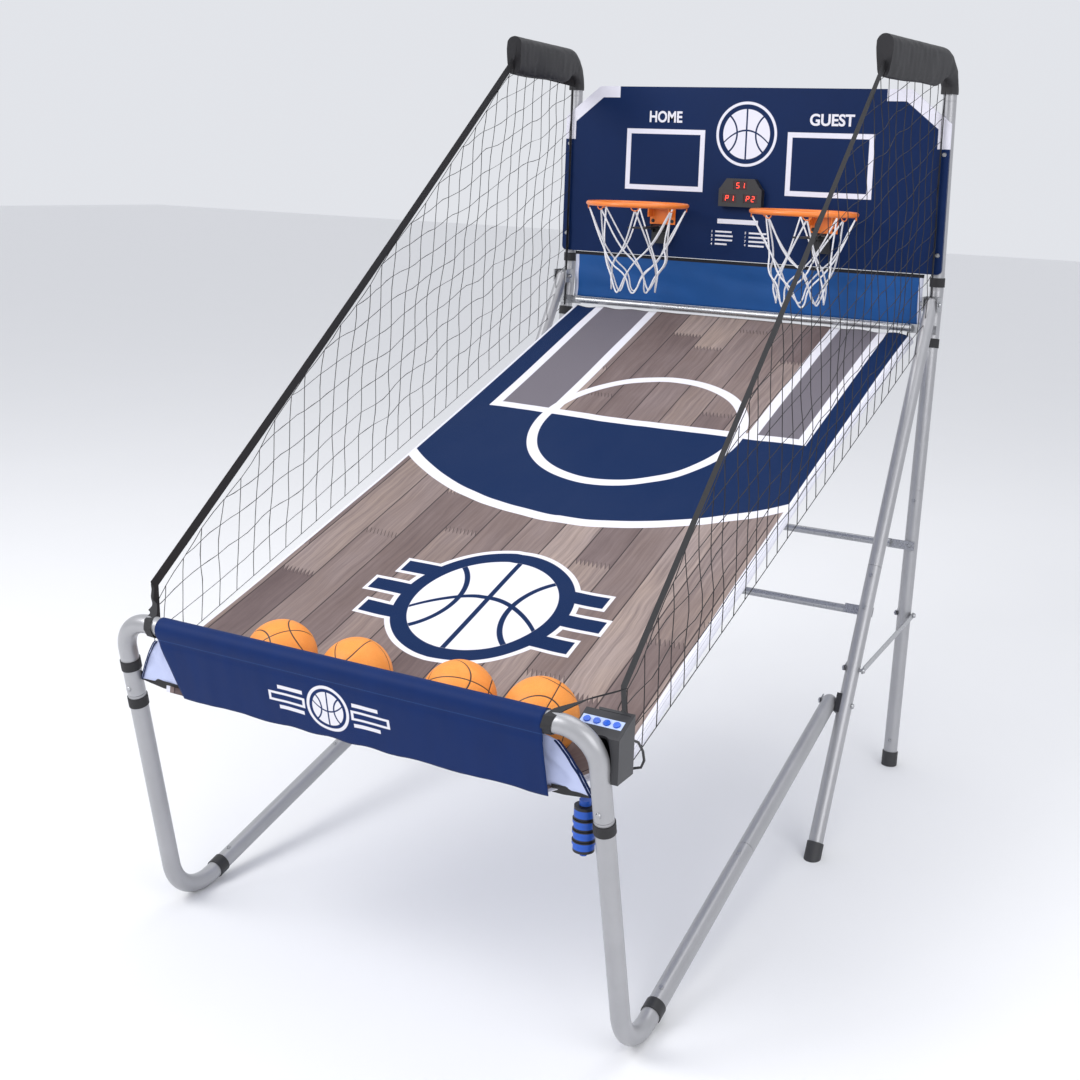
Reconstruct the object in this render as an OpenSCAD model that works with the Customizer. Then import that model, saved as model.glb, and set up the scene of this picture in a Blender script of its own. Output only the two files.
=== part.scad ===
// Two-player folding basketball hoop machine.
// Millimetres, +Z up, +Y from the player to the backboard, +X to the player's right.
// The origin is at floor level, under the middle of the whole machine.

/* [Tubes] */
// Outer diameter of the front frame and upright tubes
tube_d = 38; // [32:1:44]
// Outer diameter of the two support legs
leg_d = 36; // [30:1:42]
// Wall of every frame tube
tube_wall = 1.5; // [1:0.1:2.5]
// Diameter of the cross bars
bar_d = 21; // [16:1:26]

/* [Rear frame] */
// Distance between the centre lines of the uprights
frame_w = 1180; // [1000:10:1400]
// Where the uprights stand on the floor, along Y
upright_foot_y = 818; // [780:1:860]
// How far the lower uprights lean back, in degrees
upright_lean = 7.6; // [5:0.1:9]
// Height at which the uprights turn vertical
upright_kink_z = 1340; // [1250:5:1420]
// Height of the join between the lower and the upper uprights
upright_seam_z = 777; // [700:1:850]
// Height of the top arms' centre line
arm_z = 1992; // [1960:1:2100]
// How far the top arms reach forward of the uprights
arm_reach = 490; // [350:5:560]
// How far the top arms turn inwards, in degrees
arm_toe = 6; // [0:0.5:8]
// Height of the rear cross bar
rear_bar_z = 620; // [560:5:700]
// Height of the bar at the top of the ramp
ramp_bar_z = 1228; // [1200:1:1250]

/* [Support legs] */
// Where the support legs stand on the floor, along Y
leg_foot_y = 144; // [100:1:200]
// Height of the pivot at the top of the support legs
leg_pivot_z = 1305; // [1290:1:1320]
// Distance of that pivot in front of the upright's centre line
leg_pivot_gap = 49; // [46:1:56]
// Height of the cross bar between the support legs
front_bar_z = 541; // [480:5:600]
// Height of the join in the support legs
leg_seam_z = 640; // [600:5:700]
// Height of the spreader's bolt on the upright
link_top_z = 425; // [380:5:460]
// Height of the spreader's bolt on the support leg
link_low_z = 405; // [370:5:440]

/* [Front frame] */
// Length of the lower rails, from the pivot to the bottom corner
rail_len = 1212; // [1100:2:1260]
// Slope of the lower rails, in degrees
rail_slope = 15.9; // [14:0.1:17]
// How far the front legs lean forward, in degrees
front_lean = 14; // [10:0.5:16]
// Length of the front legs, from the bottom corner to the top bar
front_leg_len = 722; // [640:2:780]
// Bend radius of the bottom corners
foot_bend_r = 105; // [90:1:130]
// Bend radius of the top bar's corners
bar_bend_r = 70; // [60:1:90]
// Length of the top bar's down-turned ends, from the corner
stub_len = 176; // [150:1:200]
// Distance from the pivot to the join in the lower rails
rail_seam = 590; // [500:5:650]

/* [Playfield] */
// Width of the ramp
ramp_w = 1084; // [900:10:1096]
// Thickness of the ramp cloth
cloth_t = 2.4; // [1.5:0.1:4]
// Height of the ramp's front edge
ramp_front_z = 552; // [535:1:570]
// Width of the front panel
panel_w = 890; // [760:10:920]
// Depth of the front panel below the top bar's centre line
panel_drop = 142; // [120:1:150]
// Diameter of the balls
ball_d = 145; // [120:1:150]

/* [Backboard and hoops] */
// Width of the backboard
board_w = 1212; // [1200:2:1300]
// Height of the backboard
board_h = 516; // [460:2:540]
// Height of the backboard's lower edge
board_z = 1387; // [1380:1:1400]
// Thickness of the backboard
board_t = 12; // [8:1:16]
// Outer diameter of the rims
rim_d = 305; // [260:1:320]
// Diameter of the rim's rod
rim_rod = 14; // [10:0.5:18]
// Distance between the centres of the rims
rim_pitch = 515; // [440:5:560]
// Height of the rims
rim_z = 1547; // [1530:1:1570]
// Gap between the rim and the backboard
rim_gap = 34; // [28:1:60]
// Length of the rim nets
net_len = 232; // [180:2:250]

/* [Controls] */
// Width of the controller
ctrl_w = 100; // [90:1:110]
// Height of the controller at its back
ctrl_h = 108; // [90:1:115]
// Depth of the controller
ctrl_d = 62; // [54:1:70]
// Diameter of the push buttons
button_d = 13; // [10:0.5:15]
// Distance between the push buttons
button_pitch = 19.5; // [18:0.5:21]
// Thickness of the controller's lead
lead_d = 5; // [4:0.5:6]

/* [Hidden] */
$fn = 48;
tube_r = tube_d / 2;
leg_r = leg_d / 2;
bar_r = bar_d / 2;
half_w = frame_w / 2;
run_gap = 0.08;      // radial clearance of a bolt that something turns on
touch_gap = 0.3;     // space left between parts that move past each other
bolt_r = 4;
saddle_t = 4;
rail_x = half_w - leg_r - saddle_t - tube_r;

// Uprights
upright_kink_y = upright_foot_y + upright_kink_z * tan(upright_lean);
function upright_y(z) = z < upright_kink_z ? upright_foot_y + z * tan(upright_lean) : upright_kink_y;
arm_bend_r = 95;
arm_seam_z = arm_z - arm_bend_r - 24;
spigot_len = 60;
foot_plug = 15;
lap = 3;
lap_gap = 0.05;

// Support legs
leg_pivot_y = upright_y(leg_pivot_z) - leg_pivot_gap;
leg_lean = atan((leg_pivot_y - leg_foot_y) / leg_pivot_z);
function leg_y(z) = leg_foot_y + z * tan(leg_lean);

// Front frame, seen from the side: the bottom bend touches the floor
corner_turn = 90 + rail_slope - front_lean;
inner_half = (180 - corner_turn) / 2;
corner_z = tube_r + foot_bend_r - foot_bend_r * sin(rail_slope + inner_half) / sin(inner_half);
pivot_z = corner_z + rail_len * sin(rail_slope);
pivot_y = leg_y(pivot_z);
corner_y = pivot_y - rail_len * cos(rail_slope);
bar_y = corner_y - front_leg_len * sin(front_lean);
bar_z = corner_z + front_leg_len * cos(front_lean);
corner_t = foot_bend_r * tan(corner_turn / 2);
collar_len = 26;
foot_straight = 24;

// Backboard and hoops
board_front_y = upright_kink_y - tube_r - board_t;
bevel_w = 116;
bevel_h = 94;
rim_r = rim_d / 2 - rim_rod / 2;
rim_y = board_front_y - rim_gap - rim_d / 2;
rim_x = rim_pitch / 2;
net_top_z = rim_z - rim_rod / 2 - 12;
net_low_r = 66;
score_z = 1592;
hook_count = 8;
hook_r = 12;

// Ramp
ramp_top_y = upright_y(ramp_bar_z) - tube_r - bar_r - 6;
ramp_top_z = ramp_bar_z - bar_r - 2;
ramp_front_y = bar_y + 20;
ramp_slope = atan((ramp_top_z - ramp_front_z) / (ramp_top_y - ramp_front_y));
ramp_len = (ramp_top_y - ramp_front_y) / cos(ramp_slope);
function ramp_z(y) = ramp_front_z + (y - ramp_front_y) * tan(ramp_slope);

// Controller
ctrl_x = rail_x - ctrl_w / 2 + 34;
ctrl_y = bar_y + tube_r + 1;
ctrl_top = bar_z + 12;
ctrl_tilt = 24;
ctrl_wall = 2.5;
button_drop = 2;

// Balls: places along X and how far behind the top bar
ball_r = ball_d / 2;
ball_x = [-206, -20, 215, 388];
ball_in = [17, 14, 16, 20];

// Lead: from the controller round the ramp's edge, then under the ramp to the scoreboard
lead_front_points = [[572, -917, 655], [572, -900, 652], [571, -872, 638], [569, -846, 612],
    [567, -834, 590], [560, -831, 574], [546, -834, 570], [532, -838, 574], [520, -839, 584]];
lead_rear_points = [[520, -834, 588], [518, -700, 637], [516, -400, 740], [516, 0, 878], [516, 400, 1016],
    [516, 700, 1119], [518, 880, 1180], [519, 940, 1197], [520, 975, 1207], [520, 985, 1225], [520, 985, 1300],
    [520, 985, 1480], [512, 985, 1570], [480, 985, 1591], [300, 985, 1592], [60, 985, 1592], [12, 984, 1592],
    [2, 977, 1592], [0, 967, 1592]];

// ---------- shared shapes ----------

// A bend that starts at the origin, heads up and turns towards -X.
module elbow(turn, bend, r) {
    translate([-bend, 0, 0]) rotate([90, 0, 0])
        rotate_extrude(angle = turn) translate([bend, 0]) circle(r = r);
}

// A solid rod along straight lengths and bends: each step is [length, turn, bend radius].
// After a bend that isn't square, the next length is a hair thinner and starts inside the bend.
module rod_run(steps, r, poke = 0, i = 0) {
    last = i == len(steps) - 1;
    lapped = i > 0 && steps[i - 1].y != 90;
    start = i == 0 ? poke : lapped ? lap : 0;
    translate([0, 0, -start]) cylinder(h = steps[i].x + start + (last ? poke : 0), r = lapped ? r - lap_gap : r);
    if (!last)
        translate([0, 0, steps[i].x]) {
            elbow(steps[i].y, steps[i].z, r);
            translate([steps[i].z * (cos(steps[i].y) - 1), 0, steps[i].z * sin(steps[i].y)])
                rotate([0, -steps[i].y, 0]) rod_run(steps, r, poke, i + 1);
        }
}

// The same, as a tube.
module pipe_run(steps, r) {
    difference() {
        rod_run(steps, r);
        rod_run(steps, r - tube_wall, 1);
    }
}

// A solid rod with one slight kink in it, rounded over by a ball a hair wider than the rod.
module kinked_rod(low, high, turn, r, poke = 0) {
    translate([0, 0, -poke]) cylinder(h = low + poke, r = r);
    translate([0, 0, low]) {
        sphere(r = r + run_gap);
        rotate([0, -turn, 0]) cylinder(h = high + poke, r = r);
    }
}

// The narrow end of a tube, which slides into the next one.
module spigot(r, long = spigot_len) {
    out = r - tube_wall - 0.1;
    difference() {
        translate([0, 0, -6]) cylinder(h = long + 6, r = out);
        translate([0, 0, -7]) cylinder(h = long + 8, r = out - tube_wall);
    }
}

module both_sides() {
    children();
    mirror([1, 0, 0]) children();
}

// A bolt along +X: domed head outside, wing nut or hex nut inside. The shank starts at x = 0.
module bolt(grip, wing = false) {
    rotate([0, 90, 0]) translate([0, 0, -touch_gap]) cylinder(h = grip + 2 * touch_gap + 9, r = bolt_r);
    translate([-touch_gap - 4, 0, 0]) rotate([0, 90, 0]) cylinder(h = 4, r1 = 5.2, r2 = 7.6);
    translate([grip + touch_gap, 0, 0]) {
        rotate([0, 90, 0]) cylinder(h = 6, r = 7, $fn = wing ? 48 : 6);
        if (wing)
            for (s = [-1, 1]) translate([2, s * 11, 3]) rotate([s * 18, 0, 0]) cube([3, 14, 13], center = true);
    }
}

// Everything in the front frame's own plane: origin at the pivot, +Z down the rail to the front.
module on_rail(side) {
    translate([side * rail_x, pivot_y, pivot_z]) rotate([90 + rail_slope, 0, 0]) children();
}

// Origin at the end of the top bar, +Z up along the front leg.
module on_front_leg(side) {
    translate([side * rail_x, bar_y, bar_z]) rotate([front_lean, 0, 0]) children();
}

// Origin on the floor under the support leg, +Z up along the leg.
module on_support(side, z) {
    translate([side * half_w, leg_y(z), z]) rotate([-leg_lean, 0, 0]) children();
}

// Origin on the lower upright at a height, +Z up along it.
module on_upright(side, z) {
    translate([side * half_w, upright_y(z), z])
        rotate([z < upright_kink_z ? -upright_lean : 0, 0, 0]) children();
}

// Keeps only what is above the floor.
module above_floor() {
    difference() {
        children();
        translate([-1500, -1500, -200]) cube([3000, 3000, 200]);
    }
}

// ---------- front frame ----------

module front_bar() {
    color("silver")
        on_front_leg(-1) rotate([0, 0, 180]) translate([0, 0, -stub_len])
            pipe_run([[stub_len - bar_bend_r, 90, bar_bend_r],
                [2 * (rail_x - bar_bend_r), 90, bar_bend_r],
                [stub_len - bar_bend_r, 0, 0]], tube_r);
}

module front_leg(side) {
    start = rail_len - corner_t - foot_straight;
    color("silver") on_rail(side) rotate([0, 0, -90]) translate([0, 0, start]) {
        pipe_run([[foot_straight, corner_turn, foot_bend_r],
            [front_leg_len - corner_t - stub_len - 1, 0, 0]], tube_r);
    }
    color("silver") on_front_leg(side) translate([0, 0, -stub_len - 1]) spigot(tube_r);
}

module rail_front(side) {
    color("silver") on_rail(side) {
        translate([0, 0, rail_seam]) difference() {
            cylinder(h = rail_len - corner_t - foot_straight - rail_seam - 1, r = tube_r);
            translate([0, 0, -1])
                cylinder(h = rail_len - corner_t - foot_straight - rail_seam + 1, r = tube_r - tube_wall);
        }
        translate([0, 0, rail_len - corner_t - foot_straight - 1]) spigot(tube_r, foot_straight - lap);
    }
}

module rail_rear(side) {
    color("silver") on_rail(side) {
        difference() {
            union() {
                cylinder(h = rail_seam - 1, r = tube_r);
                sphere(r = tube_r);
            }
            cylinder(h = rail_seam, r = tube_r - tube_wall);
            sphere(r = tube_r - tube_wall);
            translate([-tube_d, 0, 0]) rotate([0, 90, 0]) cylinder(h = 2 * tube_d, r = bolt_r + run_gap);
        }
        translate([0, 0, rail_seam - 1]) spigot(tube_r);
    }
}

module rail_collars() {
    color("black") for (side = [-1, 1])
        on_rail(side) translate([0, 0, rail_len - corner_t - foot_straight - collar_len / 2]) difference() {
            cylinder(h = collar_len, r = tube_r + 2.2);
            translate([0, 0, -1]) cylinder(h = collar_len + 2, r = tube_r + 0.1);
        }
}

module front_fasteners() {
    color("gray") for (side = [-1, 1]) {
        on_front_leg(side) translate([0, -tube_r - 0.1, -stub_len + 18]) rotate([90, 0, 0])
            cylinder(h = 3, r1 = 5.5, r2 = 4);
        on_rail(side) translate([0, tube_r + 0.1, rail_len - corner_t - foot_straight - 40]) rotate([-90, 0, 0])
            cylinder(h = 3, r1 = 5, r2 = 4);
        on_rail(side) translate([0, tube_r + 0.1, rail_seam + 34]) rotate([-90, 0, 0])
            cylinder(h = 3, r1 = 5, r2 = 4);
    }
}

module leg_bands() {
    color("black") for (side = [-1, 1], drop = side > 0 ? [194] : [106, 194])
        on_front_leg(side) translate([0, 0, -drop - 11]) difference() {
            cylinder(h = 22, r = tube_r + 2);
            translate([0, 0, -1]) cylinder(h = 24, r = tube_r + 0.1);
        }
}

// ---------- tray ----------

module front_panel() {
    color("navy") on_front_leg(0) translate([-panel_w / 2, 0, 0]) {
        difference() {
            rotate([0, 90, 0]) cylinder(h = panel_w, r = tube_r + cloth_t + 0.2);
            translate([-1, 0, 0]) rotate([0, 90, 0]) cylinder(h = panel_w + 2, r = tube_r + 0.1);
            translate([-1, 0, -tube_r - 4]) cube([panel_w + 2, tube_r + 4, tube_r + 4]);
        }
        translate([0, -tube_r - cloth_t, -panel_drop]) cube([panel_w, cloth_t, panel_drop]);
    }
}

module tray_gussets() {
    edge = panel_w / 2;
    color("lavender") both_sides() on_front_leg(0) rotate([90, 0, 0]) translate([0, 0, -cloth_t / 2])
        linear_extrude(cloth_t)
            polygon([[edge - 22, -26], [edge + 18, -38], [rail_x - 43, -92], [rail_x - 23, -134], [edge - 22, -134]]);
}

module pump() {
    top = ramp_front_z - 16;
    color("royalblue") translate([498, bar_y + 70, top - 96]) {
        cylinder(h = 84, r = 20);
        for (z = [14, 34, 54]) translate([0, 0, z]) cylinder(h = 7, r = 22);
        translate([0, 0, 83]) cylinder(h = 12, r = 11);
        translate([0, 0, -9]) cylinder(h = 10, r = 7);
    }
}

// ---------- controller ----------

// Origin at the lower front edge of the sloping panel, which faces up and to the player.
module on_panel() {
    translate([ctrl_x, ctrl_y, ctrl_top - ctrl_d * tan(ctrl_tilt)]) rotate([ctrl_tilt, 0, 0]) children();
}

panel_len = ctrl_d / cos(ctrl_tilt);

module ctrl_profile(inset) {
    low = ctrl_top - ctrl_d * tan(ctrl_tilt);
    polygon([[ctrl_y + inset, ctrl_top - ctrl_h + inset], [ctrl_y + ctrl_d - inset, ctrl_top - ctrl_h + inset],
        [ctrl_y + ctrl_d - inset, ctrl_top - inset], [ctrl_y + inset, low - inset]]);
}

// The housing's outline, hollowed out where the bar bends down into the leg.
module ctrl_body(inset) {
    behind = 150;
    difference() {
        translate([ctrl_x - ctrl_w / 2 + inset, 0, 0]) rotate([90, 0, 90])
            linear_extrude(ctrl_w - 2 * inset) ctrl_profile(inset > 0 ? inset + 1.5 : 0);
        on_front_leg(1) translate([-bar_bend_r, -40, -bar_bend_r]) {
            rotate([-90, 0, 0]) cylinder(h = behind, r = bar_bend_r + inset);
            translate([-inset, 0, -ctrl_h]) cube([bar_bend_r + 2 * inset, behind, ctrl_h]);
        }
    }
}

module controller() {
    lip = 6;
    color("dimgray") difference() {
        ctrl_body(0);
        ctrl_body(ctrl_wall);
        on_panel() translate([-ctrl_w / 2 + lip, lip, -ctrl_wall - 9])
            cube([ctrl_w - 2 * lip, panel_len - 2 * lip, ctrl_wall + 11]);
        on_rail(1) cylinder(h = 2 * rail_len, r = tube_r + 1);
        on_front_leg(1) translate([0, 0, -stub_len])
            rod_run([[stub_len - bar_bend_r, 90, bar_bend_r], [40, 0, 0]], tube_r + 1);
        on_front_leg(1) translate([0, 0, -stub_len - 40]) cylinder(h = stub_len + 90, r = tube_r + 1);
        translate([lead_front_points[0].x, lead_front_points[0].y - 8, lead_front_points[0].z])
            rotate([-90, 0, 0]) cylinder(h = 12, r = lead_d / 2 + 0.2);
    }
}

module controller_panel() {
    lip = 6.2;
    color("lightsteelblue") on_panel() difference() {
        translate([-ctrl_w / 2 + lip, lip, -3]) cube([ctrl_w - 2 * lip, panel_len - 2 * lip, 2.5]);
        for (i = [0:3]) translate([(i - 1.5) * button_pitch, panel_len / 2, -4])
            cylinder(h = 5, r = button_d / 2 + touch_gap);
    }
}

module button(i) {
    color("blue") on_panel() translate([(i - 1.5) * button_pitch, panel_len / 2, -6]) {
        cylinder(h = 8, r = button_d / 2);
        translate([0, 0, -0.5]) cylinder(h = 2.4, r = button_d / 2 + 1.6);
    }
}

// ---------- support legs ----------

module support_lower(side) {
    join = leg_seam_z / cos(leg_lean);
    color("silver") translate([side * half_w, leg_foot_y, 0]) rotate([-leg_lean, 0, 0]) {
        difference() {
            translate([0, 0, foot_plug]) cylinder(h = join - foot_plug - 1, r = leg_r);
            translate([0, 0, foot_plug - 1]) cylinder(h = join - foot_plug + 2, r = leg_r - tube_wall);
            for (z = [pivot_z, link_low_z]) translate([-leg_d, 0, z / cos(leg_lean)]) rotate([0, 90, 0])
                cylinder(h = 2 * leg_d, r = bolt_r + run_gap);
            translate([0, -leg_d, front_bar_z / cos(leg_lean)]) rotate([-90, 0, 0])
                cylinder(h = 2 * leg_d, r = 3 + run_gap);
        }
        translate([0, 0, join - 1]) spigot(leg_r);
    }
}

module support_upper(side) {
    color("silver") on_support(side, leg_seam_z) {
        run = (leg_pivot_z - leg_seam_z) / cos(leg_lean);
        difference() {
            union() {
                cylinder(h = run, r = leg_r);
                translate([0, 0, run]) sphere(r = leg_r);
            }
            translate([0, 0, -1]) cylinder(h = run + 1, r = leg_r - tube_wall);
            translate([0, 0, run]) sphere(r = leg_r - tube_wall);
            translate([-leg_d, 0, run]) rotate([0, 90, 0]) cylinder(h = 2 * leg_d, r = bolt_r + run_gap);
        }
    }
}

// A closed rubber foot around the end of a leaning tube.
module foot_cap(r) {
    difference() {
        translate([0, 0, -20]) cylinder(h = 58, r = r + 2.5);
        translate([0, 0, foot_plug - 0.1]) cylinder(h = 60, r = r + 0.1);
    }
}

module support_feet() {
    color("dimgray") above_floor() for (side = [-1, 1])
        translate([side * half_w, leg_foot_y, 0]) rotate([-leg_lean, 0, 0]) foot_cap(leg_r);
}

// A tube across the machine with flattened ends, bolted against the frame tubes.
module cross_bar(reach) {
    flat = 46;
    mid = half_w - leg_r - 34;
    difference() {
        union() {
            translate([-mid, 0, 0]) rotate([0, 90, 0]) cylinder(h = 2 * mid, r = bar_r);
            for (s = [-1, 1]) translate([s * (mid + flat / 2 + 6), bar_r - 2, 0])
                cube([flat + 30, 4, bar_d + 4], center = true);
        }
        translate([-mid + 12, 0, 0]) rotate([0, 90, 0]) cylinder(h = 2 * mid - 24, r = bar_r - tube_wall);
        for (s = [-1, 1]) translate([s * reach, -bar_d, 0]) rotate([-90, 0, 0])
            cylinder(h = 3 * bar_d, r = 3 + run_gap);
    }
}

module front_cross_bar() {
    color("silver") on_support(0, front_bar_z) translate([0, leg_r + bar_r + 0.1, 0]) mirror([0, 1, 0])
        cross_bar(half_w);
}

module support_fasteners() {
    color("gray") for (side = [-1, 1]) {
        on_support(side, front_bar_z) {
            translate([0, -leg_r - 2, 0]) rotate([-90, 0, 0]) cylinder(h = leg_d + 10, r = 3);
            translate([0, -leg_r - 4, 0]) rotate([-90, 0, 0]) cylinder(h = 3.6, r1 = 4, r2 = 6);
            translate([0, leg_r + 4.4, 0]) rotate([-90, 0, 0]) cylinder(h = 4, r = 5.5, $fn = 6);
        }
        on_support(side, leg_seam_z - 24) translate([0, -leg_r - 0.1, 0]) rotate([90, 0, 0])
            cylinder(h = 3, r1 = 5, r2 = 4);
        translate([side * half_w, 0, 0]) mirror([side > 0 ? 1 : 0, 0, 0])
            translate([-leg_r - 9, leg_y(link_low_z), link_low_z]) bolt(leg_d + 9, true);
    }
}

// Saddles between the rails and the support legs.
module rail_saddles() {
    color("black") for (side = [-1, 1]) difference() {
        on_support(side, pivot_z) translate([side < 0 ? leg_r * 0.45 : -leg_r - saddle_t + touch_gap, -17, -24])
            cube([leg_r * 0.55 + saddle_t - touch_gap, 34, 48]);
        on_support(side, pivot_z) translate([0, 0, -40]) cylinder(h = 80, r = leg_r + 0.1);
        translate([side * half_w - 40, pivot_y, pivot_z]) rotate([0, 90, 0])
            cylinder(h = 80, r = bolt_r + run_gap);
    }
}

// Bolts that the rails turn on, with their wing nuts on the inner side.
module rail_pivots() {
    grip = leg_d + saddle_t + tube_d + 0.4;
    color("gray") for (side = [-1, 1])
        translate([side * half_w, 0, 0]) mirror([side > 0 ? 1 : 0, 0, 0])
            translate([-leg_r - 0.1, pivot_y, pivot_z]) bolt(grip, true);
}

// ---------- rear frame ----------

module upright_lower(side) {
    join = upright_seam_z / cos(upright_lean);
    color("silver") translate([side * half_w, upright_foot_y, 0]) rotate([-upright_lean, 0, 0]) {
        difference() {
            translate([0, 0, foot_plug]) cylinder(h = join - foot_plug - 1, r = tube_r);
            translate([0, 0, foot_plug - 1]) cylinder(h = join - foot_plug + 2, r = tube_r - tube_wall);
            translate([-tube_d, 0, link_top_z / cos(upright_lean)]) rotate([0, 90, 0])
                cylinder(h = 2 * tube_d, r = bolt_r + run_gap);
            translate([0, -tube_d, rear_bar_z / cos(upright_lean)]) rotate([-90, 0, 0])
                cylinder(h = 2 * tube_d, r = 3 + run_gap);
        }
        translate([0, 0, join - 1]) spigot(tube_r);
    }
}

module upright_upper(side) {
    low = (upright_kink_z - upright_seam_z) / cos(upright_lean);
    high = arm_seam_z - upright_kink_z - 1;
    color("silver") on_upright(side, upright_seam_z) difference() {
        rotate([0, 0, 90]) difference() {
            kinked_rod(low, high, upright_lean, tube_r);
            kinked_rod(low, high, upright_lean, tube_r - tube_wall, 1);
        }
        translate([0, -tube_d, (ramp_bar_z - upright_seam_z) / cos(upright_lean)]) rotate([-90, 0, 0])
            cylinder(h = 2 * tube_d, r = 3 + run_gap);
    }
}

module upright_feet() {
    color("dimgray") above_floor() for (side = [-1, 1])
        translate([side * half_w, upright_foot_y, 0]) rotate([-upright_lean, 0, 0]) foot_cap(tube_r);
}

module on_arm(side) {
    translate([side * half_w, upright_kink_y, arm_seam_z]) rotate([0, 0, 90 - side * arm_toe]) children();
}

arm_steps = [[arm_z - arm_bend_r - arm_seam_z, 90, arm_bend_r], [arm_reach - arm_bend_r, 0, 0]];

module top_arms() {
    color("silver") for (side = [-1, 1]) {
        on_arm(side) pipe_run(arm_steps, tube_r);
        on_arm(side) mirror([0, 0, 1]) spigot(tube_r);
    }
}

module rear_cross_bar() {
    color("silver") on_upright(0, rear_bar_z) translate([0, -tube_r - bar_r - 0.1, 0]) cross_bar(half_w);
}

module ramp_bar() {
    color("silver") on_upright(0, ramp_bar_z) translate([0, -tube_r - bar_r - 0.1, 0]) cross_bar(half_w);
}

module upright_fasteners() {
    color("gray") for (side = [-1, 1]) {
        for (z = [rear_bar_z, ramp_bar_z]) on_upright(side, z) {
            translate([0, -tube_r - 6, 0]) rotate([-90, 0, 0]) cylinder(h = tube_d + 12, r = 3);
            translate([0, -tube_r - 7.8, 0]) rotate([-90, 0, 0]) cylinder(h = 3.6, r1 = 4, r2 = 6);
            translate([0, tube_r + 0.2, 0]) rotate([-90, 0, 0]) cylinder(h = 4, r = 5.5, $fn = 6);
        }
        on_upright(side, upright_seam_z - 30) translate([0, -tube_r - 0.1, 0]) rotate([90, 0, 0])
            cylinder(h = 3, r1 = 5, r2 = 4);
        on_upright(side, 70) translate([0, -tube_r - 0.1, 0]) rotate([90, 0, 0]) cylinder(h = 3, r1 = 5, r2 = 4);
        translate([side * half_w, 0, 0]) mirror([side > 0 ? 1 : 0, 0, 0]) {
            translate([-tube_r - 9, upright_y(link_top_z), link_top_z]) bolt(tube_d + 9, true);
            translate([-leg_r - 6, leg_pivot_y, leg_pivot_z]) bolt(leg_d + 12, false);
        }
        for (z = [54, 336]) translate([side * (half_w + 2), board_front_y, board_z + z]) rotate([-90, 0, 0]) {
            translate([0, 0, -3]) cylinder(h = 2.9, r1 = 5, r2 = 7);
        }
    }
}

// U-shaped brackets on the uprights, which the support legs turn in.
module leg_clevises() {
    inner = leg_r + 1;
    color("silver") for (side = [-1, 1]) difference() {
        translate([side * half_w, leg_pivot_y, leg_pivot_z]) difference() {
            translate([-inner - 4, -14, -20]) cube([2 * inner + 8, leg_pivot_gap - 4, 40]);
            translate([-inner, -15, -21]) cube([2 * inner, leg_r + 20, 42]);
            translate([-40, 0, 0]) rotate([0, 90, 0]) cylinder(h = 80, r = bolt_r + run_gap);
        }
        on_upright(side, leg_pivot_z) translate([0, 0, -60]) cylinder(h = 120, r = tube_r + 0.1);
    }
}

// ---------- spreaders ----------

link_x = half_w + tube_r + 4.6;
link_w = 16;

module spreader() {
    start = [upright_y(link_top_z), link_top_z];
    end = [leg_y(link_low_z), link_low_z];
    run = norm(start - end);
    tilt = atan2(start.y - end.y, start.x - end.x);
    translate([link_x, start.x, start.y]) rotate([tilt, 0, 0]) difference() {
        union() {
            translate([0, -run, -link_w / 2]) cube([3, run, link_w]);
            for (y = [0, -run]) translate([0, y, 0]) rotate([0, 90, 0]) cylinder(h = 3, r = link_w / 2);
        }
        for (y = [0, -run]) translate([-1, y, 0]) rotate([0, 90, 0]) cylinder(h = 5, r = bolt_r + run_gap);
        translate([-1, -run, 0]) rotate([-30, 0, 0]) translate([0, -bolt_r - run_gap, 0])
            cube([5, 2 * (bolt_r + run_gap), link_w]);
    }
}

module spreaders() {
    color("silver") both_sides() spreader();
}

// ---------- ramp, nets and cloth ----------

module on_ramp() {
    translate([0, ramp_front_y, ramp_front_z]) rotate([ramp_slope, 0, 0]) children();
}

module ramp() {
    shoulder = 116;
    w = ramp_w / 2;
    color("saddlebrown") on_ramp() linear_extrude(cloth_t)
        polygon([[-panel_w / 2, 0], [panel_w / 2, 0], [w, shoulder], [w, ramp_len], [-w, ramp_len], [-w, shoulder]]);
}

module side_net(side) {
    x = ramp_w / 2 + 8;
    gap = 9;
    front = bar_y + 96;
    tip = upright_kink_y - arm_reach + 6;
    top = arm_z - 64;
    color("black") translate([side * x - 1.5, 0, 0]) rotate([90, 0, 90]) linear_extrude(3)
        polygon([[front, ramp_z(front) + gap], [ramp_top_y - 16, ramp_z(ramp_top_y - 16) + gap],
            [ramp_top_y - 16, ramp_bar_z + 22], [board_front_y - 6, ramp_bar_z + 30],
            [board_front_y - 6, top], [tip, top], [front, bar_z + 8]]);
}

module arm_sleeves() {
    out = tube_r + 2.6;
    skirt = 46;
    color("black") for (side = [-1, 1]) on_arm(side) difference() {
        union() {
            rod_run([[arm_z - arm_bend_r - arm_seam_z, 90, arm_bend_r], [arm_reach - arm_bend_r + 5, 0, 0]], out);
            translate([-arm_reach - 5, -9, arm_z - arm_seam_z - skirt - 14])
                cube([arm_reach - arm_bend_r + 30, 18, skirt + 10]);
        }
        rod_run(arm_steps, tube_r + 0.2, 1);
        translate([-arm_reach, -6.5, arm_z - arm_seam_z - skirt - 15])
            cube([arm_reach - arm_bend_r + 20, 13, skirt + 5]);
    }
}

module rear_panel() {
    low = ramp_bar_z + bar_r + 3;
    w = 2 * (half_w - tube_r) - 24;
    color("royalblue") translate([-w / 2, board_front_y + 4, low]) cube([w, cloth_t, board_z - low - 2]);
}

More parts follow.
